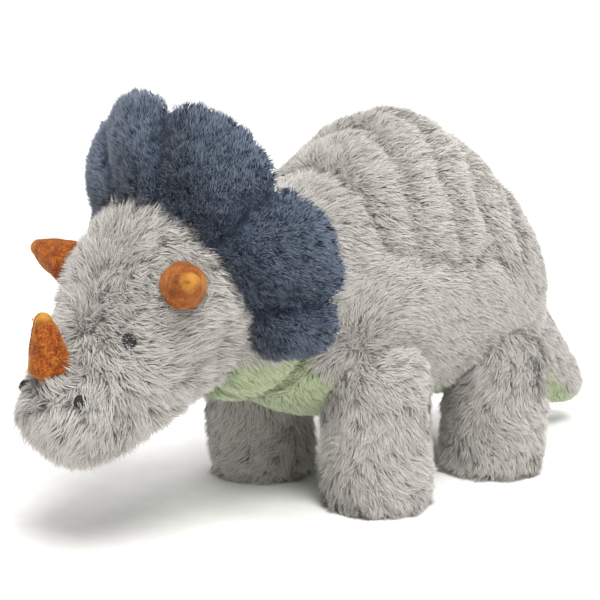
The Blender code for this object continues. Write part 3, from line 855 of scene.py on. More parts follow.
    def strands(
        self,
        cloth: Pile,
        centre: np.ndarray,
        normal: np.ndarray,
        comb: np.ndarray,
        size: np.ndarray,
        upright: np.ndarray,
        rng: np.random.Generator,
    ) -> tuple[np.ndarray, np.ndarray]:
        """Lays out each strand's root, middle and tip.

        Args:
            cloth: The pile.
            centre: Each clump's centre.
            normal: The skin's direction there.
            comb: The comb's direction there.
            size: Share of the cloth's length there.
            upright: How far the pile is pushed upright there, from 0 to 1.
            rng: The source of chance.

        Returns:
            The points, as strands by 5 by 3, and the direction that each strand faces.
        """
        each = cloth.strands
        comb = unit(comb - np.sum(comb * normal, axis=1, keepdims=True) * normal)
        side = np.cross(normal, comb)
        turn = np.radians(cloth.wander) * drift(centre, 0.034, SEED + 5)
        turn = turn + np.radians(0.55 * cloth.wander) * rng.normal(size=len(centre))
        ahead = np.cos(turn)[:, None] * comb + np.sin(turn)[:, None] * side
        size = size * (1 + 0.13 * rng.normal(size=len(centre)))
        lift = np.radians(cloth.lift + 9 * rng.normal(size=len(centre)) + 32 * upright)
        lie = np.radians(cloth.lie + 8 * rng.normal(size=len(centre)) + 46 * upright)

        clump_mid, clump_tip = self.grow(normal, ahead, lift, lie, cloth.length * size)
        clump_tip = centre + 1.05 * clump_tip
        clump_mid = centre + clump_mid
        # One row for each strand from here on.
        n, t, w = (np.repeat(x, each, axis=0) for x in (normal, ahead, np.cross(normal, ahead)))
        total = len(n)
        reach = cloth.clump * np.sqrt(rng.random(total)) * 1.35
        around = 2 * np.pi * rng.random(total)
        root = np.repeat(centre, each, axis=0)
        root = root + (reach * np.cos(around))[:, None] * t + (reach * np.sin(around))[:, None] * w
        root = root - self.bury * n
        stray = np.radians(13) * rng.normal(size=total)
        t = np.cos(stray)[:, None] * t + np.sin(stray)[:, None] * w
        long = cloth.length * np.repeat(size, each) * rng.uniform(0.72, 1.12, total)
        up = np.repeat(lift, each) + np.radians(8) * rng.normal(size=total)
        down = np.repeat(lie, each) + np.radians(9) * rng.normal(size=total)
        mid, tip = self.grow(n, t, up, down, long)
        pull = cloth.gather * rng.uniform(0.55, 1.15, total)[:, None]
        mid = root + mid
        mid = mid + 0.4 * pull * (np.repeat(clump_mid, each, axis=0) - mid)
        tip = root + tip
        tip = tip + pull * (np.repeat(clump_tip, each, axis=0) - tip)
        roll = np.radians(26) * rng.normal(size=total)
        flat = unit(np.cross(n, mid - root))
        flat = np.cos(roll)[:, None] * flat + np.sin(roll)[:, None] * n
        wide = cloth.width * rng.uniform(0.7, 1.25, total)
        half = 0.5 * wide[:, None] * flat
        points = np.stack([root - half, root + half, mid - 0.85 * half, mid + 0.85 * half, tip], 1)
        points[:, :, 2] = np.maximum(points[:, :, 2], self.floor)
        out = np.cross(tip - root, flat)
        out = unit(out) * np.sign(np.sum(out * n, axis=1, keepdims=True))
        return points, unit(0.62 * n + 0.38 * out)

    def ribbons(
        self,
        name: str,
        points: np.ndarray,
        facing: np.ndarray,
        light: np.ndarray,
        painted_highlight: np.ndarray,
        rng: np.random.Generator,
    ) -> bpy.types.Mesh:
        """Makes the strands' mesh: a quad and a tip each, with their tint across the UV map.

        Args:
            name: The mesh's name.
            points: The strands' points.
            facing: The direction that each strand faces, for soft shading.
            light: How light each strand may be, from 0 to 1.
            painted_highlight: How far each strand goes to the palest tint, as a painted highlight, from 0
                to 1.
            rng: The source of chance.

        Returns:
            The mesh.
        """
        count = len(points)
        mesh = bpy.data.meshes.new(name)
        mesh.vertices.add(5 * count)
        mesh.vertices.foreach_set("co", points.astype(np.float32).ravel())
        corner = np.array([0, 2, 3, 1, 2, 4, 3])
        mesh.loops.add(7 * count)
        loops = (5 * np.arange(count)[:, None] + corner[None]).astype(np.int32)
        mesh.loops.foreach_set("vertex_index", loops.ravel())
        mesh.polygons.add(2 * count)
        starts = (7 * np.arange(count)[:, None] + np.array([0, 4])[None]).astype(np.int32)
        mesh.polygons.foreach_set("loop_start", starts.ravel())
        mesh.polygons.foreach_set("use_smooth", np.ones(2 * count, bool))
        tint = rng.random(count) ** 0.8 * light
        tint = 0.03 + 0.94 * (tint + painted_highlight * (1 - tint))
        across = np.array([-0.012, 0.012, -0.012, 0.012, 0.0])
        along = np.array([0.02, 0.02, 0.5, 0.5, 0.98])
        uv = np.stack(
            [tint[:, None] + across[corner][None], np.tile(along[corner], (count, 1))], axis=-1
        )
        layer = mesh.uv_layers.new(name="OFBake")
        layer.data.foreach_set("uv", uv.astype(np.float32).ravel())
        mesh.update(calc_edges=True)
        mesh.normals_split_custom_set_from_vertices(np.repeat(facing, 5, axis=0).tolist())
        return mesh


# ---------------------------------------------------------------- sub-assemblies


def joint_place(name: str) -> np.ndarray:
    """Where a joint is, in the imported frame."""
    found = next(j for j in frame["joints"] if j["name"] == name)
    return np.array(found["pos_m"], float)


def upholster(
    skin: Skin, body: str, cloths: list[Pile], fillings: list[str], wardrobe: Wardrobe
) -> None:
    """Shows a padded skin on its body, in place of its filling.

    Args:
        skin: The skin.
        body: The body that it rides on.
        cloths: The pile whose backing each panel shows.
        fillings: The nodes that it stands for.
        wardrobe: The materials.
    """
    name = f"{skin.name}_pad"
    pad = show(name, skin.mesh(name), [wardrobe.backing[cloth.name] for cloth in cloths])
    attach(pad, body)
    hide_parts(*fillings)


def ring_grid(
    form: Form, inset: float, start: float, end: float, rings: int, sides: int
) -> tuple[np.ndarray, np.ndarray, np.ndarray]:
    """Points on a form, set in by inset.

    Args:
        form: The form.
        inset: How far inside the form's surface.
        start: First station.
        end: Last station.
        rings: How many rings of points.
        sides: How many points in a ring.

    Returns:
        The points, and the station and angle of each.
    """
    t, angle = np.meshgrid(
        np.linspace(start, end, rings), np.linspace(0, 2 * np.pi, sides, endpoint=False),
        indexing="ij",
    )
    points = form.offset(t.ravel(), angle.ravel(), -inset).reshape(rings, sides, 3)
    return points, t, angle


def panels_by_seam(t: np.ndarray, angle: np.ndarray, seam: Seam) -> tuple[np.ndarray, np.ndarray]:
    """Numbers a form's faces by their panel, and finds the points on its seams.

    Args:
        t: Station of each point.
        angle: Angle of each point, in radians.
        seam: The angle of the lower seam at a station, in radians.

    Returns:
        0 for left, 1 for right and 2 for the under panel, and True for points on a seam.
    """
    step = angle[0, 1] - angle[0, 0]
    mid_t = 0.5 * (t[:-1] + t[1:])
    mid = angle[:-1] + 0.5 * step
    low = seam(mid_t)
    panel = np.where(mid < low, 0, np.where(mid > 2 * np.pi - low, 1, 2))
    line = seam(t)
    held = (np.abs(angle - line) < 0.5 * step) | (np.abs(angle - 2 * np.pi + line) < 0.5 * step)
    held |= angle < 0.5 * step
    held[[0, -1]] = True
    return panel, held


@dataclass
class Torso:
    """The body: two grey side panels and a green belly, quilted by the way it is sewn."""

    length: float = 0.224
    half_width: float = 0.083
    back: float = 0.237
    belly: float = 0.043
    front: float = -0.111
    stations: tuple[tuple[float, float, float, float], ...] = (
        (0.000, 0.787, 1.52, 0.700),
        (0.107, 0.800, 1.22, 0.795),
        (0.245, 0.865, 1.04, 0.915),
        (0.383, 0.950, 1.00, 0.980),
        (0.522, 1.000, 1.00, 1.000),
        (0.660, 0.958, 1.02, 1.000),
        (0.790, 0.862, 1.08, 0.965),
        (0.877, 0.775, 1.19, 0.870),
        (0.937, 0.690, 1.42, 0.710),
        (0.978, 0.600, 1.76, 0.480),
        (1.000, 0.480, 2.50, 0.030),
    )
    belly_seam: tuple[tuple[float, float], ...] = (
        (0.0, 118.0), (0.15, 130.0), (0.35, 140.0), (0.75, 143.0), (1.0, 130.0),
    )
    # Creases on the left side, as (share of length, degrees from the ridge). The right mirrors them.
    creases: tuple[tuple[tuple[float, float], ...], ...] = (
        ((0.41, 1), (0.37, 19), (0.352, 41), (0.33, 52), (0.324, 64), (0.322, 76)),
        ((0.51, 12), (0.49, 31), (0.463, 44), (0.455, 56), (0.46, 68), (0.463, 86)),
        ((0.66, 14), (0.616, 38), (0.575, 55), (0.575, 71), (0.63, 84)),
        ((0.80, 16), (0.76, 40), (0.72, 60), (0.73, 80)),
        ((0.241, 2), (0.232, 24), (0.227, 44), (0.226, 62)),
        ((0.223, 63), (0.315, 72), (0.40, 81), (0.463, 87), (0.56, 84), (0.66, 86)),
    )
    crease_depth: float = 0.0040
    crease_width: float = 0.0048
    inset: float = 0.0062
    pressure: float = 2.5
    give: float = 0.003         # furthest that the filling may push the cloth
    fill: float = 0.85
    whorl: tuple[float, float] = (0.16, 106.0)
    collar_width: float = 0.013
    skin: Skin = field(init=False)
    collar: float = field(init=False)       # where the torso begins, along Y
    centre: np.ndarray = field(init=False)  # the left whorl's place

    def form(self, shift: float) -> Form:
        """The torso's form, moved by shift along Y.

        Args:
            shift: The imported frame's move along Y.

        Returns:
            The form.
        """
        stations = []
        for share, back, belly, wide in self.stations:
            top, bottom = back * self.back, belly * self.belly
            y = shift + self.front + share * self.length
            stations.append((y, (top + bottom) / 2, 0.0, wide * self.half_width, (top - bottom) / 2))
        y, z, _, wide, _ = stations[-1]
        stations[-1] = (y, z, 0.0, wide, wide)
        return Form(stations)

    def lower_seam(self, t: np.ndarray) -> np.ndarray:
        """The belly seam's angle in radians.

        Args:
            t: Stations along the torso.

        Returns:
            An angle for each station.
        """
        keys = np.array(self.belly_seam)
        shares = np.interp(t, np.arange(len(self.stations)), [s[0] for s in self.stations])
        return np.radians(spline(keys[:, 0], keys[:, 1], shares))

    def station(self, share: np.ndarray) -> np.ndarray:
        """The station at a share of the length."""
        return np.interp(share, [s[0] for s in self.stations], np.arange(len(self.stations)))

    def build(self, shift: float, wardrobe: Wardrobe) -> None:
        """Builds the padded skin.

        Args:
            shift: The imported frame's move along Y.
            wardrobe: The materials.
        """
        form = self.form(shift)
        self.collar = shift + self.front
        grid, t, angle = ring_grid(form, self.inset, 0.0, form.last - 0.12, 64, 96)
        panel, held = panels_by_seam(t, angle, self.lower_seam)
        self.skin = Skin.from_grid("torso", grid, panel, held)
        self.skin.stuff(self.pressure, self.give)
        lines = []
        for crease in self.creases:
            keys = np.array(crease, float)
            s = np.linspace(0, len(keys) - 1, 40)
            share, degrees = spline(np.arange(len(keys)), keys, s).T
            for sign in (1, -1):
                place = form.offset(self.station(share), sign * np.radians(degrees), -self.inset)
                lines.append(place)
        self.skin.pinch(lines, self.crease_depth, self.crease_width)
        ridge = form.offset(self.station(np.array([0.241, 0.412])), np.zeros(2), -self.inset)
        self.skin.pinch([ridge], 0.003, 0.006)
        share, degrees = self.whorl
        self.centre = form.point(self.station(np.array([share])), np.radians([degrees]))[0]
        upholster(self.skin, "torso", [GREY, GREY, GREEN], ["torso_filling"], wardrobe)

    def comb(self, points: np.ndarray, normals: np.ndarray) -> np.ndarray:
        """Back and down, and away from the shoulder's whorl near it.

        Args:
            points: Where clumps stand.
            normals: The skin's direction there. Not used.

        Returns:
            A direction for each point.
        """
        flow = np.tile([0.0, 0.86, -0.5], (len(points), 1))
        flow[:, 2] -= 0.25 * drift(points, 0.09, 3)
        edge = np.clip(1 - (points[:, 1:2] - self.collar) / self.collar_width, 0.0, 1.0)
        flow = flow * (1 - edge) + edge * np.array([0.0, -1.0, 0.0])
        for place in (self.centre, self.centre * MIRROR):
            away = points - place
            gap = np.linalg.norm(away, axis=1)
            near = np.exp(-((gap / 0.032) ** 2))[:, None]
            flow = flow * (1 - near) + near * 1.6 * unit(away)
        return flow

    def dress(self, barber: Barber) -> None:
        """Grows the pile of the three panels."""
        panels = [(0, "torso_side_left", GREY), (1, "torso_side_right", GREY), (2, "belly_panel", GREEN)]
        barber.dress("torso", self.skin, panels, self.comb)


@dataclass
class Neck:
    """The neck: a ball between torso and head, grey above and green at the throat."""

    radius: float = 0.057
    pitch: float = 15.0
    throat_seam: float = 112.0
    inset: float = 0.0055
    fill: float = 0.8
    skin: Skin = field(init=False)

    def build(self, place: np.ndarray, wardrobe: Wardrobe) -> None:
        """Builds the padded ball.

        Args:
            place: The ball's centre.
            wardrobe: The materials.
        """
        y, z = place[1:]
        back = dome(y, z, self.pitch, self.radius, 1.0)
        front = dome(y, z, self.pitch, self.radius, -1.0)
        form = Form(back + [(y, z, self.pitch, self.radius, self.radius)] + front[::-1])
        grid, t, angle = ring_grid(form, self.inset, 0.0, form.last, 28, 48)
        seam = math.radians(self.throat_seam)
        panel, held = panels_by_seam(t, angle, lambda at: np.full(np.shape(at), seam))
        self.skin = Skin.from_grid("neck", grid, panel, held)
        upholster(self.skin, "neck", [GREY, GREY, GREEN], ["neck_filling"], wardrobe)

    def comb(self, points: np.ndarray, normals: np.ndarray) -> np.ndarray:
        """Back and down."""
        return np.tile([0.25, 0.8, -0.55], (len(points), 1))

    def dress(self, barber: Barber) -> None:
        """Grows the pile: the two sides are one cover.

        Args:
            barber: Grows the pile.
        """
        self.skin.quad_panel[self.skin.quad_panel == 1] = 0
        panels = [(0, "neck_cover", GREY), (2, "throat_panel", GREEN)]
        barber.dress("neck", self.skin, panels, self.comb)


@dataclass
class Head:
    """The head: two grey side panels, a chin panel, and long pile brushed away from the nose."""

    place: tuple[float, float] = (-0.160, 0.142)
    pitch: float = 28.0
    length: float = 0.126
    back: float = 0.045
    half_width: float = 0.058
    half_height: float = 0.061
    stations: tuple[tuple[float, float, float, float], ...] = (
        (0.000, 0.05, 1.00, 1.00),
        (0.200, 0.05, 0.93, 1.00),
        (0.390, -0.06, 0.80, 0.95),
        (0.560, -0.18, 0.67, 0.86),
        (0.730, -0.26, 0.56, 0.75),
        (0.865, -0.28, 0.48, 0.65),
        (0.950, -0.27, 0.37, 0.50),
        (0.985, -0.25, 0.23, 0.32),
        (1.000, -0.24, 0.03, 0.04),
    )
    chin_seam: float = 132.0
    bridge: float = 0.66        # where the pile parts, as a share of the length
    inset: float = 0.0062
    pressure: float = 2.5
    give: float = 0.002
    fill: float = 0.85
    skin: Skin = field(init=False)
    form: Form = field(init=False)
    horns: list[np.ndarray] = field(init=False)

    def shape(self, shift: float) -> Form:
        """The head's form, moved by shift along Y.

        Args:
            shift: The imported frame's move along Y.

        Returns:
            The form.
        """
        lean = math.radians(self.pitch)
        forward = np.array([-math.cos(lean), -math.sin(lean)])
        upward = np.array([-math.sin(lean), math.cos(lean)])
        centre = np.array([shift + self.place[0], self.place[1]])
        rise = self.stations[0][1] * self.half_height * upward
        stations = []
        for turn in (86.0, 70.0, 52.0, 34.0, 16.0):
            y, z = centre - self.back * math.sin(math.radians(turn)) * forward + rise
            share = math.cos(math.radians(turn))
            stations.append(
                (y, z, self.pitch, share * self.half_width, share * self.half_height)
            )
        for share, lift, high, wide in self.stations:
            y, z = centre + share * self.length * forward + lift * self.half_height * upward
            stations.append((y, z, self.pitch, wide * self.half_width, high * self.half_height))
        return Form(stations)

    def at(self, share: float, degrees: float, depth: float = 0.0) -> tuple[np.ndarray, np.ndarray]:
        """A place on the head and the outward direction there.

        Args:
            share: Share of the head's length.
            degrees: Degrees round from the forehead.
            depth: How far under the tips of the pile.

        Returns:
            The place and the direction.
        """
        t = 5.0 + np.interp(share, [s[0] for s in self.stations], np.arange(len(self.stations)))
        t, angle = np.array([t]), np.radians([degrees])
        normal = self.form.normal(t, angle)[0]
        return self.form.point(t, angle)[0] - depth * normal, normal

    def build(self, shift: float, wardrobe: Wardrobe) -> None:
        """Builds the padded skin.

        Args:
            shift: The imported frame's move along Y.
            wardrobe: The materials.
        """
        self.form = self.shape(shift)
        grid, t, angle = ring_grid(self.form, self.inset, 0.4, self.form.last - 0.35, 64, 80)
        seam = math.radians(self.chin_seam)
        panel, held = panels_by_seam(t, angle, lambda at: np.full(np.shape(at), seam))
        self.skin = Skin.from_grid("head", grid, panel, held)
        self.skin.stuff(self.pressure, self.give)
        dimples = [self.at(0.74, s * 84, self.inset)[0][None] for s in (1, -1)]
        self.skin.pinch(dimples, 0.005, 0.006)
        upholster(self.skin, "head", [GREY] * 3, ["head_filling"], wardrobe)

    def comb(self, points: np.ndarray, normals: np.ndarray) -> np.ndarray:
        """Away from the bridge of the nose: up the forehead, back over the cheeks, down the snout.

        Args:
            points: Where clumps stand.
            normals: The skin's direction there. Not used.

        Returns:
            A direction for each point.
        """
        away = points - self.at(self.bridge, 0.0)[0]
        away[:, 2] -= 0.012
        flow = unit(away) + np.array([0.0, 0.25, -0.22])
        for place in self.horns:
            towards = place - points
            gap = np.linalg.norm(towards, axis=1, keepdims=True)
            near = np.clip(1 - (gap - 0.012) / 0.010, 0.0, 1.0)
            flow = flow * (1 - near) + near * towards / np.maximum(gap, 1e-6)
        return flow

    def dress(
        self, barber: Barber, bare: list[tuple[np.ndarray, float]], horns: list[np.ndarray]
    ) -> None:
        """Grows the pile of the three panels.

        Args:
            barber: Grows the pile.
            bare: The stitched features' places.
            horns: The horns' places, where the pile leans on the horn.
        """
        self.horns = horns
        nodes = ("head_side_left", "head_side_right", "chin_panel")
        panels = [(panel, node, GREY_HEAD) for panel, node in enumerate(nodes)]
        barber.dress("head", self.skin, panels, self.comb, bare)


@dataclass
class Frill:
    """The quilted frill: a front and a back panel sewn together in channels, with seven lobes."""

    root_seams: tuple[float, ...] = (-137.0, -100.0, -57.0, -19.0, 16.0, 57.0, 100.0, 137.0)
    rim_seams: tuple[float, ...] = (-119.0, -100.0, -70.0, -35.0, 5.0, 57.0, 100.0, 119.0)
    lobes: tuple[float, ...] = (0.061, 0.060, 0.060, 0.047)
    notches: tuple[float, ...] = (0.040, 0.046, 0.048, 0.053, 0.049, 0.048, 0.046, 0.040)
    lean: tuple[float, float] = (44.0, 26.0)
    full: float = 0.024
    seam_thickness: float = 0.0088
    rim: float = 0.0068
    cloth: float = 0.0028       # the pile's height over the padded skin
    fuzz: float = 0.0016        # how much further the pile stands out from the rim
    columns: int = 10
    rows: int = 18
    sunk: float = 0.006
    pressure: float = 3.0
    give: float = 0.0038
    channel_width: float = 0.0040
    rim_highlight: float = 0.75      # how much paler the pile is painted at the rim, as a highlight
    fill: float = 0.6
    skin: Skin = field(init=False)
    hub: np.ndarray = field(init=False)     # the middle of the head where the frill stands

    def surface(
        self, head: Head, lobe: int, across: np.ndarray, out: np.ndarray
    ) -> tuple[np.ndarray, np.ndarray]:
        """A place on the frill's middle surface.

        Args:
            head: The head that carries it.
            lobe: The lobe's number.
            across: Share of the lobe's width.
            out: Share of the way from root to rim.

        Returns:
            The points, and the directions that face forward.
        """
        lines = (self.root_seams, self.rim_seams)
        root, rim = ((1 - across) * s[lobe] + across * s[lobe + 1] for s in lines)
        angle = np.radians((1 - out) * root + out * rim)
        pitch = math.radians(head.pitch)
        up = np.array([0.0, -math.sin(pitch), math.cos(pitch)])
        forward = np.array([0.0, -math.cos(pitch), -math.sin(pitch)])
        turned = np.clip((np.abs(np.degrees(angle)) - 85.0) / 34.0, 0.0, 1.0)
        lean = np.radians(self.lean[0] + turned * (self.lean[1] - self.lean[0]))[:, None]
        spoke = np.outer(np.sin(angle), (1.0, 0.0, 0.0)) + np.outer(np.cos(angle), up)
        run = np.cos(lean) * spoke - np.sin(lean) * forward
        facing = np.sin(lean) * spoke + np.cos(lean) * forward
        heights = list(self.lobes[:0:-1]) + list(self.lobes)
        notch = (1 - across) * self.notches[lobe] + across * self.notches[lobe + 1]
        rise = heights[lobe] - 0.5 * (self.notches[lobe] + self.notches[lobe + 1])
        length = notch + rise * np.sin(np.pi * across) ** 0.6 - self.cloth - self.fuzz
        base = head.form.point(np.full(angle.shape, 5.0), angle)
        reach = out * (length + self.sunk) - self.sunk
        return base + reach[:, None] * run, facing

    def half(self, across: np.ndarray, out: np.ndarray) -> np.ndarray:
        """Half the padded thickness, without the pile.

        Args:
            across: Share of the lobe's width.
            out: Share of the way from root to rim.

        Returns:
            Half the thickness at each place.
        """
        lobe = np.clip(np.sin(np.pi * across), 0.0, 1.0) ** 0.7
        root = np.clip(out / 0.4, 0.0, 1.0) ** 0.8
        full = self.seam_thickness + (self.full - self.seam_thickness) * lobe * root
        whole = 0.5 * (self.rim + (full - self.rim) * (1 - out**4))
        return np.maximum(whole - self.cloth, 0.0006)

    def build(self, head: Head, wardrobe: Wardrobe) -> None:
        """Builds the quilted pad: a tube of points that goes up the front and down the back.

        Args:
            head: The head that carries it.
            wardrobe: The materials.
        """
        out = np.concatenate([np.linspace(0, 1, self.rows), np.linspace(1, 0, self.rows)])
        side = np.concatenate([np.ones(self.rows), -np.ones(self.rows)])
        rings, channel = [], []
        count = 2 * len(self.lobes) - 1
        for lobe in range(count):
            for step in range(self.columns + (lobe == count - 1)):
                share = np.full(len(out), step / self.columns)
                place, facing = self.surface(head, lobe, share, out)
                rings.append(place + (side * self.half(share, out))[:, None] * facing)
                channel.append(step in (0, self.columns))
        grid = np.array(rings)
        panel = np.tile(np.where(side > 0, 0, 1), (len(grid) - 1, 1))
        held = np.tile(np.array(channel)[:, None], (1, len(out)))
        held[:, [0, self.rows - 1, self.rows, -1]] = True
        self.skin = Skin.from_grid("frill", grid, panel, held)
        lines = [grid[i] for i in range(self.columns, len(grid) - 1, self.columns)]
        self.skin.stuff(self.pressure, self.give)
        # The channels are in the grid already, so here they only part the pile and darken it with painted
        # shade.
        self.skin.pinch(lines, 0.0, self.channel_width)
        # The pile at the rim is painted paler, as a highlight.
        rim = np.clip((np.tile(out, len(grid)) - 0.82) / 0.18, 0.0, 1.0)
        self.skin.painted_highlight[:-2] = self.rim_highlight * rim
        fillings = [f"frill_filling_{i + 1}" for i in range(count)]
        upholster(self.skin, "head", [BLUE, BLUE], fillings, wardrobe)
        self.hub = np.array([0.0, *head.form.stations[5, :2]])

    def comb(self, points: np.ndarray, normals: np.ndarray) -> np.ndarray:
        """From the root out to the rim."""
        return unit(points - self.hub) + np.array([0, 0, 0.05])

    def dress(self, barber: Barber) -> None:
        """Grows the pile of both panels."""
        panels = [(0, "frill_front_panel", BLUE), (1, "frill_back_panel", BLUE)]
        barber.dress("head", self.skin, panels, self.comb)


@dataclass
class Leg:
    """A leg: a padded tube with a round thigh, and a sole sewn in under it."""

    name: str
    hip_radius: float = 0.035
    foot_radius: float = 0.036
    sole_radius: float = 0.0265
    rounding: float = 0.014
    inset: float = 0.0060
    clearance: float = 0.0022   # height of the padded sole over the floor, under its pile
    pressure: float = 1.5
    give: float = 0.0015
    lump: float = 0.0012        # how uneven the filling is
    fill: float = 0.85
    sides: int = 48
    skin: Skin = field(init=False)
    hip: np.ndarray = field(init=False)

    def profile(self) -> np.ndarray:
        """The padded skin's outline from the thigh's top to the sole, as radius and height.

        Returns:
            A row of radius and height for each ring.
        """
        hip = self.hip[2]
        points = []
        for turn in np.linspace(4, 90, 10):
            turn = math.radians(turn)
            wide = self.hip_radius - self.inset
            points.append((wide * math.sin(turn), hip + wide * math.cos(turn)))
        knee = self.rounding * 1.6
        for share in np.linspace(0.15, 1.0, 7):
            wide = self.hip_radius + (self.foot_radius - self.hip_radius) * share - self.inset
            points.append((wide, hip + (knee - hip) * share))
        for turn in np.linspace(15, 90, 7):
            turn = math.radians(turn)
            wide = self.sole_radius + (self.foot_radius - self.sole_radius) * math.cos(turn)
            low = knee * (1 - math.sin(turn)) + self.clearance * math.sin(turn)
            points.append((wide - self.inset * math.cos(turn), low))
        points.append((0.6 * self.sole_radius, self.clearance))
        return np.array(points)

    def build(self, wardrobe: Wardrobe) -> None:
        """Builds the padded leg.

        Args:
            wardrobe: The materials.
        """
        self.hip = joint_place(f"{self.name}_swing")
        profile = self.profile()
        angle = np.linspace(0, 2 * np.pi, self.sides, endpoint=False)
        grid = np.zeros((len(profile), self.sides, 3))
        grid[:, :, 0] = self.hip[0] + profile[:, :1] * np.cos(angle)
        grid[:, :, 1] = self.hip[1] + profile[:, :1] * np.sin(angle)
        grid[:, :, 2] = profile[:, 1:]
        panel = np.zeros((len(profile) - 1, self.sides), int)
        panel[-2:] = 1
        held = np.zeros(grid.shape[:2], bool)
        held[[0, -1, -2]] = True
        self.skin = Skin.from_grid(self.name, grid, panel, held)
        self.skin.stuff(self.pressure, self.give)
        bumps = self.lump * drift(self.skin.points, 0.03, 40)
        self.skin.points[:, :2] += (bumps[:, None] * self.skin.normals())[:, :2]
        upholster(self.skin, self.name, [GREY, GREY], [f"{self.name}_filling"], wardrobe)

    def comb(self, points: np.ndarray, normals: np.ndarray) -> np.ndarray:
        """Down the leg, and a little towards the tail.

        Args:
            points: Where clumps stand.
            normals: The skin's direction there.

        Returns:
            A direction for each point.
        """
        flow = np.tile([0.0, 0.22, -1.0], (len(points), 1))
        flow[:, 1] += 0.3 * drift(points, 0.05, 9)
        under = (normals[:, 2] < -0.7)[:, None]
        radial = (points - self.hip) * np.array([1, 1, 0])
        return np.where(under, radial, flow)

    def dress(self, barber: Barber) -> None:
        """Grows the leg's pile, and the sole's."""
        panels = [(0, f"{self.name}_cover", GREY_LEG), (1, f"{self.name}_sole", GREY_LEG)]
        barber.dress(self.name, self.skin, panels, self.comb, tucked=True)


@dataclass
class Tail:
    """The tail: grey on top and green underneath, drooping to a blunt tip."""

    radius: float = 0.033
    length: float = 0.134
    stations: tuple[tuple[float, float, float], ...] = (
        (0.000, 38.0, 1.00),
        (0.250, 42.0, 0.97),
        (0.500, 45.0, 0.88),
        (0.720, 38.0, 0.74),
        (0.880, 28.0, 0.55),
        (0.970, 22.0, 0.32),
        (1.000, 20.0, 0.06),
    )
    seam: float = 118.0
    inset: float = 0.0052
    pressure: float = 1.5
    give: float = 0.0015
    fill: float = 0.8
    skin: Skin = field(init=False)

    def build(self, wardrobe: Wardrobe) -> None:
        """Builds the padded tail.

        Args:
            wardrobe: The materials.
        """
        _, y, z = joint_place("tail_wag")
        droop = self.stations[0][1]
        stations = dome(y, z, -droop, self.radius, -1.0)
        last = 0.0
        for share, droop, size in self.stations:
            step = (share - last) * self.length
            last = share
            y += step * math.cos(math.radians(droop))
            z -= step * math.sin(math.radians(droop))
            stations.append((y, z, -droop, size * self.radius, size * self.radius))
        form = Form(stations)
        grid, t, angle = ring_grid(form, self.inset, 0.5, form.last - 0.3, 40, 44)
        seam = math.radians(self.seam)
        panel, held = panels_by_seam(t, angle, lambda at: np.full(np.shape(at), seam))
        panel[panel == 1] = 0
        self.skin = Skin.from_grid("tail", grid, panel, held)
        self.skin.stuff(self.pressure, self.give)
        upholster(self.skin, "tail", [GREY, GREY, GREEN], ["tail_filling"], wardrobe)

    def comb(self, points: np.ndarray, normals: np.ndarray) -> np.ndarray:
        """Towards the tip."""
        return np.tile([0.0, 0.75, -0.65], (len(points), 1))

    def dress(self, barber: Barber) -> None:
        """Grows the pile of both panels."""
        panels = [(0, "tail_cover", GREY), (2, "tail_underside", GREEN)]
        barber.dress("tail", self.skin, panels, self.comb, tucked=True)


def placed(place: np.ndarray, direction: np.ndarray) -> Matrix:
    """A matrix whose Z runs along a direction from a place."""
    turn = Vector(direction).to_track_quat("Z", "Y").to_matrix().to_4x4()
    return Matrix.Translation(Vector(place)) @ turn


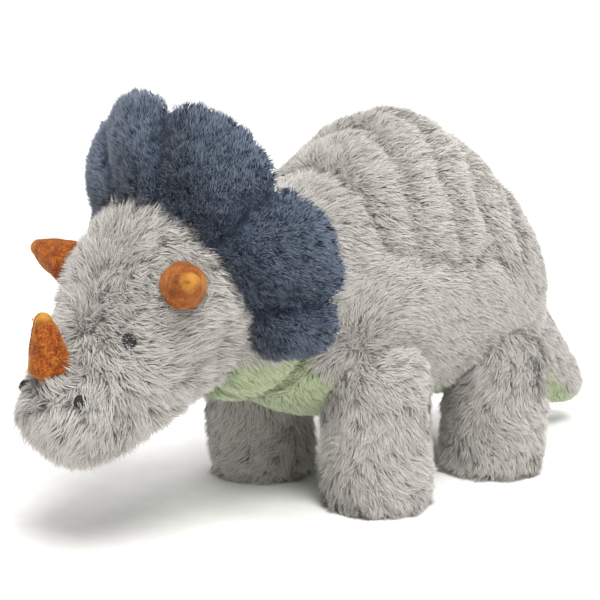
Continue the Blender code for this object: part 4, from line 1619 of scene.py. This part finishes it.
@dataclass
class Horn:
    """A padded velour horn, sewn up one side and gathered at its tip."""

    name: str
    length: float
    base: float
    share: float
    degrees: float
    aim: tuple[float, float, float]
    seam_turn: float = 200.0    # where the seam runs, in degrees round the horn
    tip: float = 0.0055
    dent: float = 0.0020        # how deep the seam's end draws in the tip
    gather: float = 0.014       # how fast the cloth draws in below the pile, towards its sewn end
    rings: int = 26
    sides: int = 40
    sunk: float = 0.010
    pressure: float = 1.2
    give: float = 0.0012
    fill: float = 0.9
    stitch_gap: float = 0.0026  # from one stitch to the next
    thread: float = 0.00035     # the sewing thread's radius
    skin: Skin = field(init=False)
    place: np.ndarray = field(init=False)

    def width(self, up: float) -> float:
        """The horn's radius at a share of the way from its base to its round tip."""
        return self.tip + (self.base - self.tip) * max(1 - up, 0) ** 0.7

    def highlight_and_seam(self, heights: np.ndarray, off: np.ndarray) -> np.ndarray:
        """How far each point of the skin is painted paler: a painted highlight at the tip, and a paler
        line along the seam.

        Args:
            heights: Each ring's height.
            off: Each side's angle from the seam, in radians.

        Returns:
            A value from 0 to 0.9 for each point.
        """
        up = np.clip((heights - 0.80 * self.length) / (0.20 * self.length), 0.0, 1.0)
        highlight_and_seam = 0.85 * up[:, None] + 0.35 * np.exp(-((off / 0.14) ** 2))[None]
        highlight_and_seam = np.concatenate([highlight_and_seam.ravel(), [0.0, 0.8]])
        return np.clip(highlight_and_seam * (0.8 + 0.3 * drift(self.skin.points, 0.004, 12)), 0.0, 0.9)

    def build(self, head: Head, wardrobe: Wardrobe) -> None:
        """Builds the horn with its seam.

        Args:
            head: The head that carries it.
            wardrobe: The materials.
        """
        self.place, _ = head.at(self.share, self.degrees)
        matrix = placed(self.place, np.array(self.aim))
        heights = np.concatenate([
            np.linspace(-self.sunk, self.length - self.tip, self.rings - 7),
            self.length - self.tip + self.tip * np.sin(np.radians(np.linspace(14, 84, 7))),
        ])
        grid = np.zeros((len(heights), self.sides, 3))
        angle = np.linspace(0, 2 * np.pi, self.sides, endpoint=False)
        seam = math.radians(self.seam_turn)
        off = np.abs((angle - seam + np.pi) % (2 * np.pi) - np.pi)
        for i, height in enumerate(heights):
            up = np.clip(height / (self.length - self.tip), 0, 1)
            wide = self.width(up) * np.clip(1 + height / self.gather, 0.4, 1.0)
            if height > self.length - self.tip:
                rise = (height - self.length + self.tip) / self.tip
                wide = self.tip * math.sqrt(max(1 - rise**2, 0.01))
            pucker = 1 - 0.10 * np.exp(-((off / 0.22) ** 2)) * (0.3 + 0.9 * up)
            fold = 1 + 0.03 * np.sin(3 * angle + 7 * up) * up + 0.018 * np.sin(5 * angle - 11 * up)
            grid[i, :, 0] = wide * pucker * fold * np.cos(angle)
            grid[i, :, 1] = wide * pucker * fold * np.sin(angle)
            grid[i, :, 2] = height - self.dent * np.exp(-((off / 0.5) ** 2)) * up**4
        flat = grid.reshape(-1, 3)
        flat = flat @ np.array(matrix.to_3x3()).T + np.array(matrix.translation)
        panel = np.zeros((len(heights) - 1, self.sides), int)
        held = np.zeros(grid.shape[:2], bool)
        held[[0, -1]] = True
        held[:, int(np.argmin(off))] = True
        self.skin = Skin.from_grid(self.name, flat.reshape(grid.shape), panel, held)
        self.skin.stuff(self.pressure, self.give)
        mesh = self.skin.mesh(f"{self.name}_velour")
        # The tip's painted highlight and the paler seam, for the velour's colour.
        layer = mesh.attributes.new("highlight_and_seam", "FLOAT", "POINT")
        layer.data.foreach_set("value", self.highlight_and_seam(heights, off).astype(np.float32))
        piece = show(f"{self.name}_velour", mesh, [wardrobe.velour])
        smooth = piece.modifiers.new("smooth", "SUBSURF")
        smooth.levels = smooth.render_levels = 1
        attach(piece, "head")
        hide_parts(f"{self.name}_cover", f"{self.name}_filling")
        self.stitch(matrix, seam, wardrobe)

    def stitch(self, matrix: Matrix, seam: float, wardrobe: Wardrobe) -> None:
        """Adds the row of small stitches along the seam.

        Args:
            matrix: The horn's place.
            seam: The seam's angle in radians.
            wardrobe: The materials.
        """
        curve = bpy.data.curves.new(f"{self.name}_stitches", "CURVE")
        curve.dimensions = "3D"
        curve.bevel_depth = self.thread
        curve.bevel_resolution = 1
        curve.use_fill_caps = True
        for height in np.arange(0.35 * self.length, 0.93 * self.length, self.stitch_gap):
            wide = self.width(height / (self.length - self.tip))
            line = curve.splines.new("POLY")
            line.points.add(2)
            for k, turn in enumerate((-0.16, 0.0, 0.16)):
                radius = wide * (0.965 if k != 1 else 0.955)
                place = matrix @ Vector((
                    radius * math.cos(seam + turn), radius * math.sin(seam + turn),
                    height + 0.0008 * (k - 1),
                ))
                line.points[k].co = (*place, 1.0)
        curve.materials.append(wardrobe.ochre_thread)
        piece = bpy.data.objects.new(f"{self.name}_stitches", curve)
        bpy.context.scene.collection.objects.link(piece)
        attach(piece, "head")


class Feature(Enum):
    """The stitched features of the face: share of the head, degrees, radius."""

    EYE = (0.55, 45.0, 0.0042)
    NOSTRIL = (0.85, 44.5, 0.0037)


@dataclass
class Face:
    """Eyes and nostrils: satin-stitched pads that sit down in the pile."""

    depth: float = 0.0024
    height: float = 0.0021
    thread: float = 0.0007      # from one thread to the next
    skirt: float = 0.003        # how far the pad goes down into the cloth
    parting: float = 0.0008     # how far the pile stands back from it

    def build(self, head: Head, wardrobe: Wardrobe) -> list[tuple[np.ndarray, float]]:
        """Builds the four pads.

        Args:
            head: The head that carries them.
            wardrobe: The materials.

        Returns:
            Where no pile stands.
        """
        bare = []
        for feature in Feature:
            share, degrees, radius = feature.value
            for side, sign in (("left", 1), ("right", -1)):
                name = f"{feature.name.lower()}_{side}"
                place, normal = head.at(share, sign * degrees, self.depth)
                piece = show(f"{name}_stitched", self.pad(name, radius), [wardrobe.black])
                piece.matrix_world = placed(place, normal)
                bpy.context.view_layer.update()
                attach(piece, "head")
                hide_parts(name)
                under, _ = head.at(share, sign * degrees, head.inset)
                bare.append((under, radius + self.parting))
        return bare

    def pad(self, name: str, radius: float) -> bpy.types.Mesh:
        """A domed pad whose top is laid in parallel threads.

        Args:
            name: The mesh's name.
            radius: The pad's radius.

        Returns:
            The mesh.
        """
        rings, sides = 14, 44
        points, faces = [(0.0, 0.0, self.height)], []
        for ring in range(1, rings + 1):
            r = radius * ring / rings
            for k in range(sides):
                x = r * math.cos(2 * math.pi * k / sides)
                y = r * math.sin(2 * math.pi * k / sides)
                rise = self.height * (1 - (r / radius) ** 3)
                ridge = 0.00022 * math.cos(2 * math.pi * x / self.thread)
                points.append((x, y, rise + ridge * (1 - (r / radius) ** 6)))
        for k in range(sides):
            faces.append((0, 1 + k, 1 + (k + 1) % sides))
        for ring in range(rings - 1):
            a = 1 + ring * sides
            for k in range(sides):
                d = (k + 1) % sides
                faces.append((a + k, a + sides + k, a + sides + d, a + d))
        a = 1 + (rings - 1) * sides
        low = len(points)
        for k in range(sides):
            x, y, _ = points[a + k]
            points.append((0.9 * x, 0.9 * y, -self.skirt))
        for k in range(sides):
            d = (k + 1) % sides
            faces.append((a + k, low + k, low + d, a + d))
        faces.append(tuple(low + k for k in range(sides))[::-1])
        mesh = bpy.data.meshes.new(name)
        mesh.from_pydata(points, [], faces)
        mesh.shade_smooth()
        return mesh


# ---------------------------------------------------------------- the studio


@dataclass
class Studio:
    """A pale floor, soft light from above, and the camera."""

    azimuth: float = 46.08
    elevation: float = 10.93
    distance: float = 1.238
    target: tuple[float, float, float] = (-0.03335, -0.00333, 0.11197)
    lens: float = 117.28
    floor: str = "F6F5F3"
    floor_light: str = "F9F8F6"
    floor_half: float = 60.0

    def camera(self) -> None:
        """Adds the camera."""
        data = bpy.data.cameras.new("camera")
        data.lens = self.lens
        data.sensor_width = 36.0
        camera = bpy.data.objects.new("camera", data)
        bpy.context.scene.collection.objects.link(camera)
        a, e = math.radians(self.azimuth), math.radians(self.elevation)
        back = Vector((math.sin(a) * math.cos(e), -math.cos(a) * math.cos(e), math.sin(e)))
        camera.location = Vector(self.target) + self.distance * back
        camera.rotation_mode = "QUATERNION"
        camera.rotation_quaternion = (-back).to_track_quat("-Z", "Y")
        bpy.context.scene.camera = camera

    def light(self, name: str, place: tuple[float, float, float], size: float, power: float) -> None:
        """Adds a soft box that faces the toy.

        Args:
            name: The light's name.
            place: Where it stands.
            size: Its side.
            power: Its power in watts.
        """
        data = bpy.data.lights.new(name, "AREA")
        data.size = size
        data.energy = power
        lamp = bpy.data.objects.new(name, data)
        lamp.location = place
        aim = Vector((0.0, 0.0, 0.1)) - Vector(place)
        lamp.rotation_mode = "QUATERNION"
        lamp.rotation_quaternion = aim.to_track_quat("-Z", "Y")
        bpy.context.scene.collection.objects.link(lamp)

    def sun(self, name: str, way: tuple[float, float, float], angle: float, power: float) -> None:
        """Adds an even, far light, as a large soft box gives.

        Args:
            name: The light's name.
            way: The direction that it comes from.
            angle: How wide it looks, which softens its shadows.
            power: Its power in watts to a square metre.
        """
        data = bpy.data.lights.new(name, "SUN")
        data.angle = math.radians(angle)
        data.energy = power
        lamp = bpy.data.objects.new(name, data)
        lamp.rotation_mode = "QUATERNION"
        lamp.rotation_quaternion = (-Vector(way)).to_track_quat("-Z", "Y")
        bpy.context.scene.collection.objects.link(lamp)

    def build(self) -> None:
        """Adds floor, lights, world and camera."""
        mesh = bpy.data.meshes.new("floor")
        size = self.floor_half
        points = [(-size, -size, 0), (size, -size, 0), (size, size, 0), (-size, size, 0)]
        mesh.from_pydata(points, [], [(0, 1, 2, 3)])
        material, shader = new_material("matt_painted_board")
        place = put(material, "ShaderNodeTexCoord").outputs["Object"]
        grain = put(material, "ShaderNodeTexNoise", links={"Vector": place}, values={"Scale": 60.0})
        colour = put(
            material, "ShaderNodeValToRGB", links={"Fac": grain.outputs["Fac"]},
            stops=[(0.4, self.floor), (0.6, self.floor_light)],
        )
        feed(material, shader, {"Base Color": colour.outputs["Color"]}, {"Roughness": 0.9})
        show("floor", mesh, [material])
        world = bpy.data.worlds.new("soft_room")
        world.use_nodes = True
        way = put(world, "ShaderNodeTexCoord")
        split = put(world, "ShaderNodeSeparateXYZ", links={"Vector": way.outputs["Generated"]})
        shade = put(
            world, "ShaderNodeMapRange", links={"Value": split.outputs["Z"]},
            values={"From Min": 0.12, "From Max": 0.30, "To Min": 1.0, "To Max": 0.55},
        )
        sky = world.node_tree.nodes["Background"]
        feed(world, sky, {"Strength": shade.outputs["Result"]}, {"Color": (1.0, 1.0, 1.0, 1.0)})
        bpy.context.scene.world = world
        self.sun("key", (0.9, -0.5, 1.5), 32.0, 3.2)
        self.light("top", (-0.3, 0.3, 1.9), 1.2, 12.0)
        bpy.context.scene.view_settings.view_transform = "Standard"
        self.camera()


def corners(bounds: tuple[Vector, Vector]) -> list[list[float]]:
    """The box's corners as plain lists."""
    return [list(map(float, c)) for c in bounds]


def main() -> None:
    """Builds every sub-assembly in order, then dresses them in pile."""
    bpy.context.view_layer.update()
    Studio().build()
    wardrobe = Wardrobe()
    barber = Barber(wardrobe)
    neck_place = joint_place("neck_turn")
    shift = float(neck_place[1] - NECK_Y)
    torso, neck, head, frill, tail = Torso(), Neck(), Head(), Frill(), Tail()
    torso.build(shift, wardrobe)
    neck.build(neck_place, wardrobe)
    head.build(shift, wardrobe)
    frill.build(head, wardrobe)
    tail.build(wardrobe)
    legs = [Leg(f"leg_{end}_{side}") for end in ("front", "hind") for side in ("left", "right")]
    for leg in legs:
        leg.build(wardrobe)
    brow = {"length": 0.033, "base": 0.0135, "share": 0.25}
    horns = [
        Horn(
            "nose_horn", length=0.032, base=0.0125, share=0.79, degrees=0.0, aim=(0.0, -0.16, 0.987),
            seam_turn=250.0,
        ),
        Horn("brow_horn_left", degrees=59.0, aim=(0.81, -0.53, 0.24), **brow),
        Horn("brow_horn_right", degrees=-59.0, aim=(-0.95, -0.10, 0.22), **brow),
    ]
    for horn in horns:
        horn.build(head, wardrobe)
    bare = Face().build(head, wardrobe)
    for part in (torso, neck, head, frill, tail, *legs, *horns):
        barber.solids[part.skin.name] = part.skin.tree()
    barber.horns = {horn.skin.name for horn in horns}
    torso.dress(barber)
    neck.dress(barber)
    head.dress(barber, bare, [horn.place for horn in horns])
    frill.dress(barber)
    tail.dress(barber)
    for leg in legs:
        leg.dress(barber)
    log.info("%d pile faces in all", barber.total)


if __name__ == "__main__":
    logging.basicConfig(level=logging.INFO)
    main()
